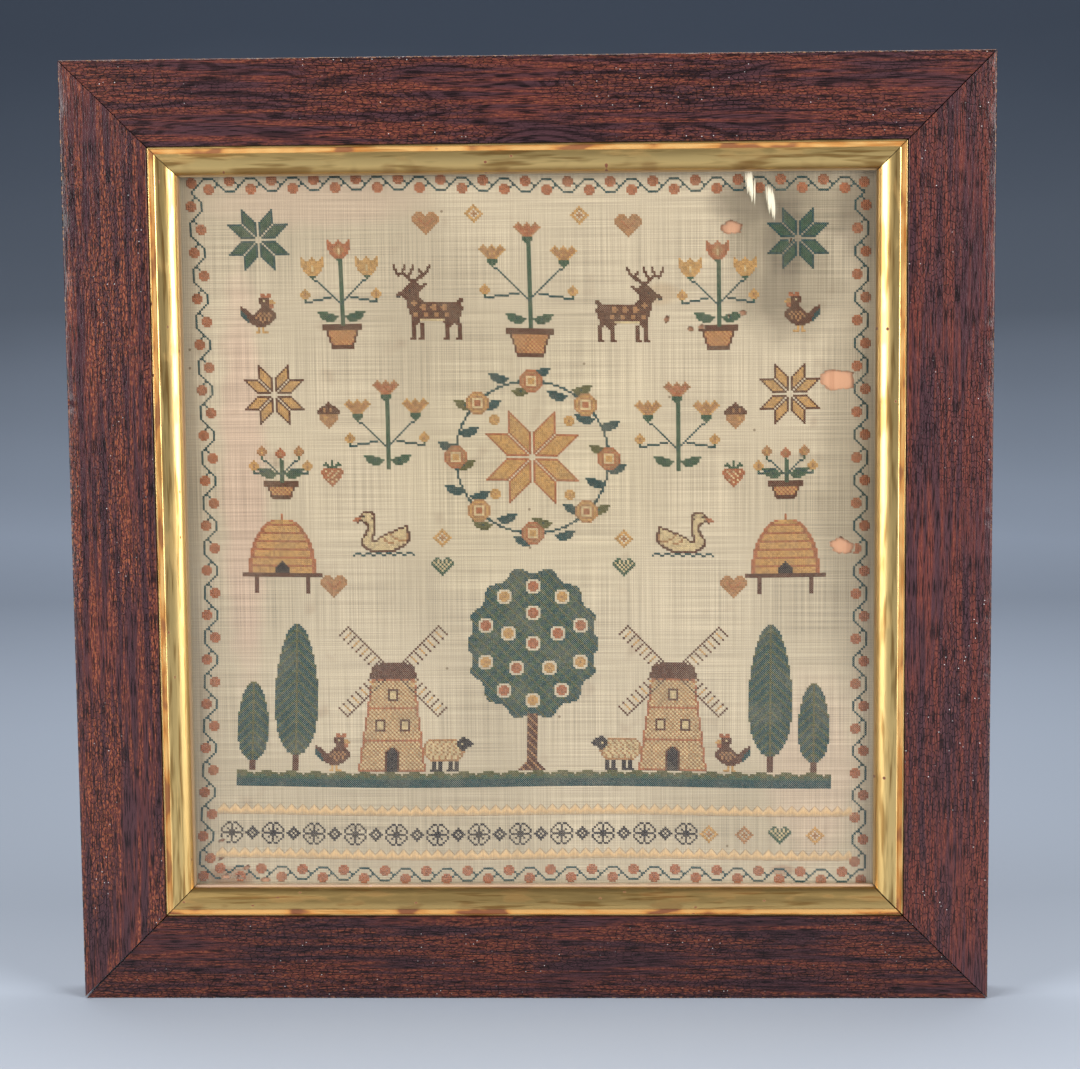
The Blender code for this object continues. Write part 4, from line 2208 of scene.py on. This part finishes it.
    def _cross(self) -> bmesh.types.BMesh:
        """Two strands, the second arched over the first.

        Returns:
            Both as one shape.
        """
        both = bmesh.new()
        for angle, lift in ((45, 0), (-45, -self.cross_lift * self.strand_height)):
            strand = self._strand(self.pitch * math.sqrt(2) * self.cross_reach, arched=lift < 0)
            turn = Matrix.Translation((0, lift, 0)) @ Matrix.Rotation(math.radians(angle), 4, "Y")
            bmesh.ops.transform(strand, matrix=turn, verts=strand.verts)
            part = to_mesh("strand", strand)
            both.from_mesh(part)
            bpy.data.meshes.remove(part)
        return both

    @staticmethod
    def _master(name: str, shape: bmesh.types.BMesh) -> bpy.types.Object:
        """Keeps a small shape as the object that is repeated.

        Args:
            name: The object's name.
            shape: The shape, which is freed.

        Returns:
            The object, which is removed once everything is sewn.
        """
        bmesh.ops.recalc_face_normals(shape, faces=shape.faces)
        mesh = to_mesh(name, shape)
        mesh.shade_smooth()
        master = link_object(name, mesh)
        master.hide_render = True
        return master

    def _satin(self) -> Iterator[Repeat]:
        """The upright strands of the two bands of satin teeth.

        Yields:
            Each strand.
        """
        dice = self.dice
        for foot in self.bands:
            for number in range(round((self.band_end - self.band_start) / self.satin_step)):
                along = number * self.satin_step
                rise = 1 - abs(along % self.tooth / self.tooth * 2 - 1)
                uneven = dice.uniform(-self.satin_uneven, self.satin_uneven)
                tall = self.band_height + rise * self.tooth_height + uneven
                place = self.lie(self.band_start + along, foot + tall / 2)
                width, thickness = dice.uniform(*self.satin_width), dice.uniform(*self.satin_thickness)
                turn = math.radians(dice.uniform(-self.satin_turn, self.satin_turn))
                size = (width, thickness, tall * self.pitch)
                yield Repeat(place, turn, size, dice.uniform(*self.satin_shade))

    def _satin_edges(self) -> Iterator[Repeat]:
        """The thin darker lines along the foot and the teeth of the satin bands.

        Yields:
            Each short strand.
        """
        slope = math.atan2(self.tooth / 2, self.tooth_height)
        slant = math.hypot(self.tooth / 2, self.tooth_height) * self.pitch
        for foot in self.bands:
            for number in range(int((self.band_end - self.band_start) / self.tooth)):
                column = self.band_start + (number + 0.5) * self.tooth
                flat = (*self.foot_line, self.tooth * self.pitch)
                yield Repeat(self.lie(column, foot), math.pi / 2, flat, self.dice.random())
                middle = foot + self.band_height + self.tooth_height / 2
                for side in (-1, 1):
                    place = self.lie(column + side * self.tooth / 4, middle)
                    size = (*self.tooth_line, slant)
                    yield Repeat(place, -side * slope, size, self.dice.random())

    def _frays(self) -> Iterator[Repeat]:
        """Loose ends of the weave that cross the edges of the moth holes.

        Yields:
            Each short strand.
        """
        dice = self.dice
        for hole in self.linen.holes:
            ring = list(hole.outline())
            for x, z in ring[:: 1 if hole.width > self.wide_hole else 2]:
                if dice.random() < self.fray_gap:
                    continue
                outward = math.atan2(x - hole.x, z - hole.z)
                length = dice.uniform(*self.fray_length) * MM
                place = (x, self.linen.front + self.linen.rise(x, z) + self.fray_lift, z)
                size = (dice.uniform(*self.fray_width), self.fray_thickness, length)
                swing = dice.uniform(-self.fray_swing, self.fray_swing)
                yield Repeat(place, outward + swing, size, dice.random())

    def _sew(
        self,
        name: str,
        master: bpy.types.Object,
        repeats: list[Repeat],
        thread: Thread,
        colour: Colour | None = None,
    ) -> None:
        """Repeats a shape over many places and finishes it as one piece.

        Args:
            name: The piece's name.
            master: The shape.
            repeats: Where each copy goes.
            thread: The thread.
            colour: The thread's colour here, where it isn't the usual one.
        """
        points = bpy.data.meshes.new(name + "_points")
        points.vertices.add(len(repeats))
        points.vertices.foreach_set("co", [part for one in repeats for part in one.place])
        for key, rows in (
            ("turn", [(0, one.turn, 0) for one in repeats]),
            ("size", [one.size for one in repeats]),
            ("shade", [(one.shade,) for one in repeats]),
        ):
            kind, slot = ("FLOAT", "value") if key == "shade" else ("FLOAT_VECTOR", "vector")
            layer = points.attributes.new(key, kind, "POINT")
            layer.data.foreach_set(slot, [part for row in rows for part in row])
        carrier = link_object(name + "_points", points)
        carrier.modifiers.new("sew", "NODES").node_group = self._sewing_nodes(master)
        sewn = carrier.evaluated_get(bpy.context.evaluated_depsgraph_get())
        mesh = bpy.data.meshes.new_from_object(sewn)
        bpy.data.objects.remove(carrier)
        for spare in ("turn", "size"):
            if spare in mesh.attributes:
                mesh.attributes.remove(mesh.attributes[spare])
        finish = SewingThread(name, colour or thread.colour)
        self.pieces.append(add_piece(name, mesh, finish.make(), sharp=None))

    @staticmethod
    def _sewing_nodes(master: bpy.types.Object) -> bpy.types.NodeTree:
        """Geometry nodes that put the shape on every point and realize the copies.

        Args:
            master: The shape.

        Returns:
            The node group.
        """
        group = bpy.data.node_groups.new("sew_" + master.name, "GeometryNodeTree")
        group.interface.new_socket("Geometry", in_out="INPUT", socket_type="NodeSocketGeometry")
        group.interface.new_socket("Geometry", in_out="OUTPUT", socket_type="NodeSocketGeometry")
        nodes, links = group.nodes, group.links
        start, end = nodes.new("NodeGroupInput"), nodes.new("NodeGroupOutput")
        copies, real = nodes.new("GeometryNodeInstanceOnPoints"), nodes.new("GeometryNodeRealizeInstances")
        shape = nodes.new("GeometryNodeObjectInfo")
        shape.inputs["Object"].default_value = master
        links.new(start.outputs[0], copies.inputs["Points"])
        links.new(shape.outputs["Geometry"], copies.inputs["Instance"])
        for key, socket in (("turn", "Rotation"), ("size", "Scale")):
            read = nodes.new("GeometryNodeInputNamedAttribute")
            read.data_type = "FLOAT_VECTOR"
            read.inputs["Name"].default_value = key
            links.new(read.outputs["Attribute"], copies.inputs[socket])
        links.new(copies.outputs["Instances"], real.inputs["Geometry"])
        links.new(real.outputs["Geometry"], end.inputs[0])
        return group


@dataclass
class Studio:
    """A pale paper sweep, soft lights to the left and right, and the camera."""

    outline: Outline
    eye: Place = (0.0435, -1.1786, 0.3526)
    pitch: float = -6.295
    yaw: float = 1.827
    roll: float = 0.526
    lens: float = 83.33
    room_colour: Colour = srgb(168, 172, 180)
    room_strength: float = 0.3
    sweep_width: float = 9.0
    sweep_front: float = -4.0
    sweep_back: float = 2.6
    sweep_bend: float = 1.2
    sweep_top: float = 4.5

    def build(self) -> None:
        """Sets up the floor, the lights, the room's own light and the camera."""
        self._sweep()
        self._softbox("softbox_left", (-1.45, -1.05, 0.7), (1.2, 1.4), 51)
        self._softbox("softbox_right", (1.45, -1.05, 0.7), (1.2, 1.4), 55)
        self._softbox("softbox_over", (0, 0.3, 1.5), (1.2, 0.5), 16)
        world = bpy.data.worlds.new("room")
        world.use_nodes = True
        room_light = world.node_tree.nodes["Background"].inputs
        room_light["Color"].default_value = self.room_colour
        room_light["Strength"].default_value = self.room_strength
        bpy.context.scene.world = world
        bpy.context.scene.view_settings.view_transform = "Standard"
        self._camera()

    def _sweep(self) -> None:
        """Lays the paper along the floor and up behind."""
        bend = (self.sweep_back - self.sweep_bend, self.sweep_bend)
        curve = arc(bend, (self.sweep_bend, self.sweep_bend), 270, 360, 16)
        profile = [(self.sweep_front, 0.0), *curve, (self.sweep_back, self.sweep_top)]
        shape = bmesh.new()
        line = [shape.verts.new((-self.sweep_width / 2, y, z)) for y, z in profile]
        edges = [shape.edges.new(ends) for ends in zip(line, line[1:], strict=False)]
        swept = bmesh.ops.extrude_edge_only(shape, edges=edges)
        bmesh.ops.translate(shape, verts=verts_of(swept), vec=(self.sweep_width, 0, 0))
        mesh = to_mesh("paper_sweep", shape)
        mesh.shade_smooth()
        mesh.materials.append(StudioPaper("paper").make())
        sweep = link_object("paper_sweep", mesh)
        sweep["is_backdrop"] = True

    def _softbox(self, name: str, place: Place, size: Point, power: float) -> None:
        """Hangs one soft light that faces the middle of the picture.

        Args:
            name: The light's name.
            place: Where it hangs.
            size: Its width and height.
            power: Its power in watts.
        """
        light = bpy.data.lights.new(name, "AREA")
        light.shape = "RECTANGLE"
        light.size, light.size_y = size
        light.energy = power
        lamp = link_object(name, light)
        aim = Vector((0, 0, self.outline.height / 2)) - Vector(place)
        lamp.location = place
        lamp.rotation_euler = aim.to_track_quat("-Z", "Y").to_euler()

    def _camera(self) -> None:
        """Stands the camera where the frame's corners say it stood."""
        data = bpy.data.cameras.new("camera")
        data.lens = self.lens
        data.dof.use_dof = False
        camera = link_object("camera", data)
        turn = Matrix.Rotation(math.radians(self.yaw), 4, "Z")
        turn @= Matrix.Rotation(math.radians(self.roll), 4, "Y")
        turn @= Matrix.Rotation(math.radians(90 + self.pitch), 4, "X")
        camera.matrix_world = Matrix.Translation(self.eye) @ turn
        bpy.context.scene.camera = camera


def dress_node(node: str, material: bpy.types.Material) -> None:
    """Gives a CAD node its finish.

    Args:
        node: The node's name.
        material: The finish.
    """
    for slot in FRAME["nodes"][node].material_slots:
        slot.material = material


def main() -> None:
    """Builds every sub-assembly around the frame."""
    logging.basicConfig(level=logging.INFO, format="%(name)s %(message)s")
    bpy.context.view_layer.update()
    outline = Outline.read()
    oak_mitres = {
        "top_left": Mitre(0.35 * MM, 0.30 * MM),
        "top_right": Mitre(0.50 * MM, 0.40 * MM),
        "bottom_right": Mitre(0.55 * MM, 0.60 * MM),
        "bottom_left": Mitre(0.95 * MM, 0.40 * MM),
    }
    slip_mitres = {
        "top_left": Mitre(0.30 * MM, 0.30 * MM),
        "top_right": Mitre(0.30 * MM, 0.30 * MM),
        "bottom_right": Mitre(0.50 * MM, 0.60 * MM),
        "bottom_left": Mitre(0.35 * MM, 0.40 * MM),
    }
    OakFrame(outline, oak_mitres).build()
    GiltSlip(outline, slip_mitres).build()
    dress_node("glass", PictureGlass("picture_glass").make())
    dress_node("backboard", PineBoard("pine_board").make())
    linen = LinenSheet(outline)
    linen.build()
    needlework = Needlework(linen)
    needlework.build()
    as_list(needlework.pieces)
    Studio(outline).build()


if __name__ == "__main__":
    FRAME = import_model()
    main()
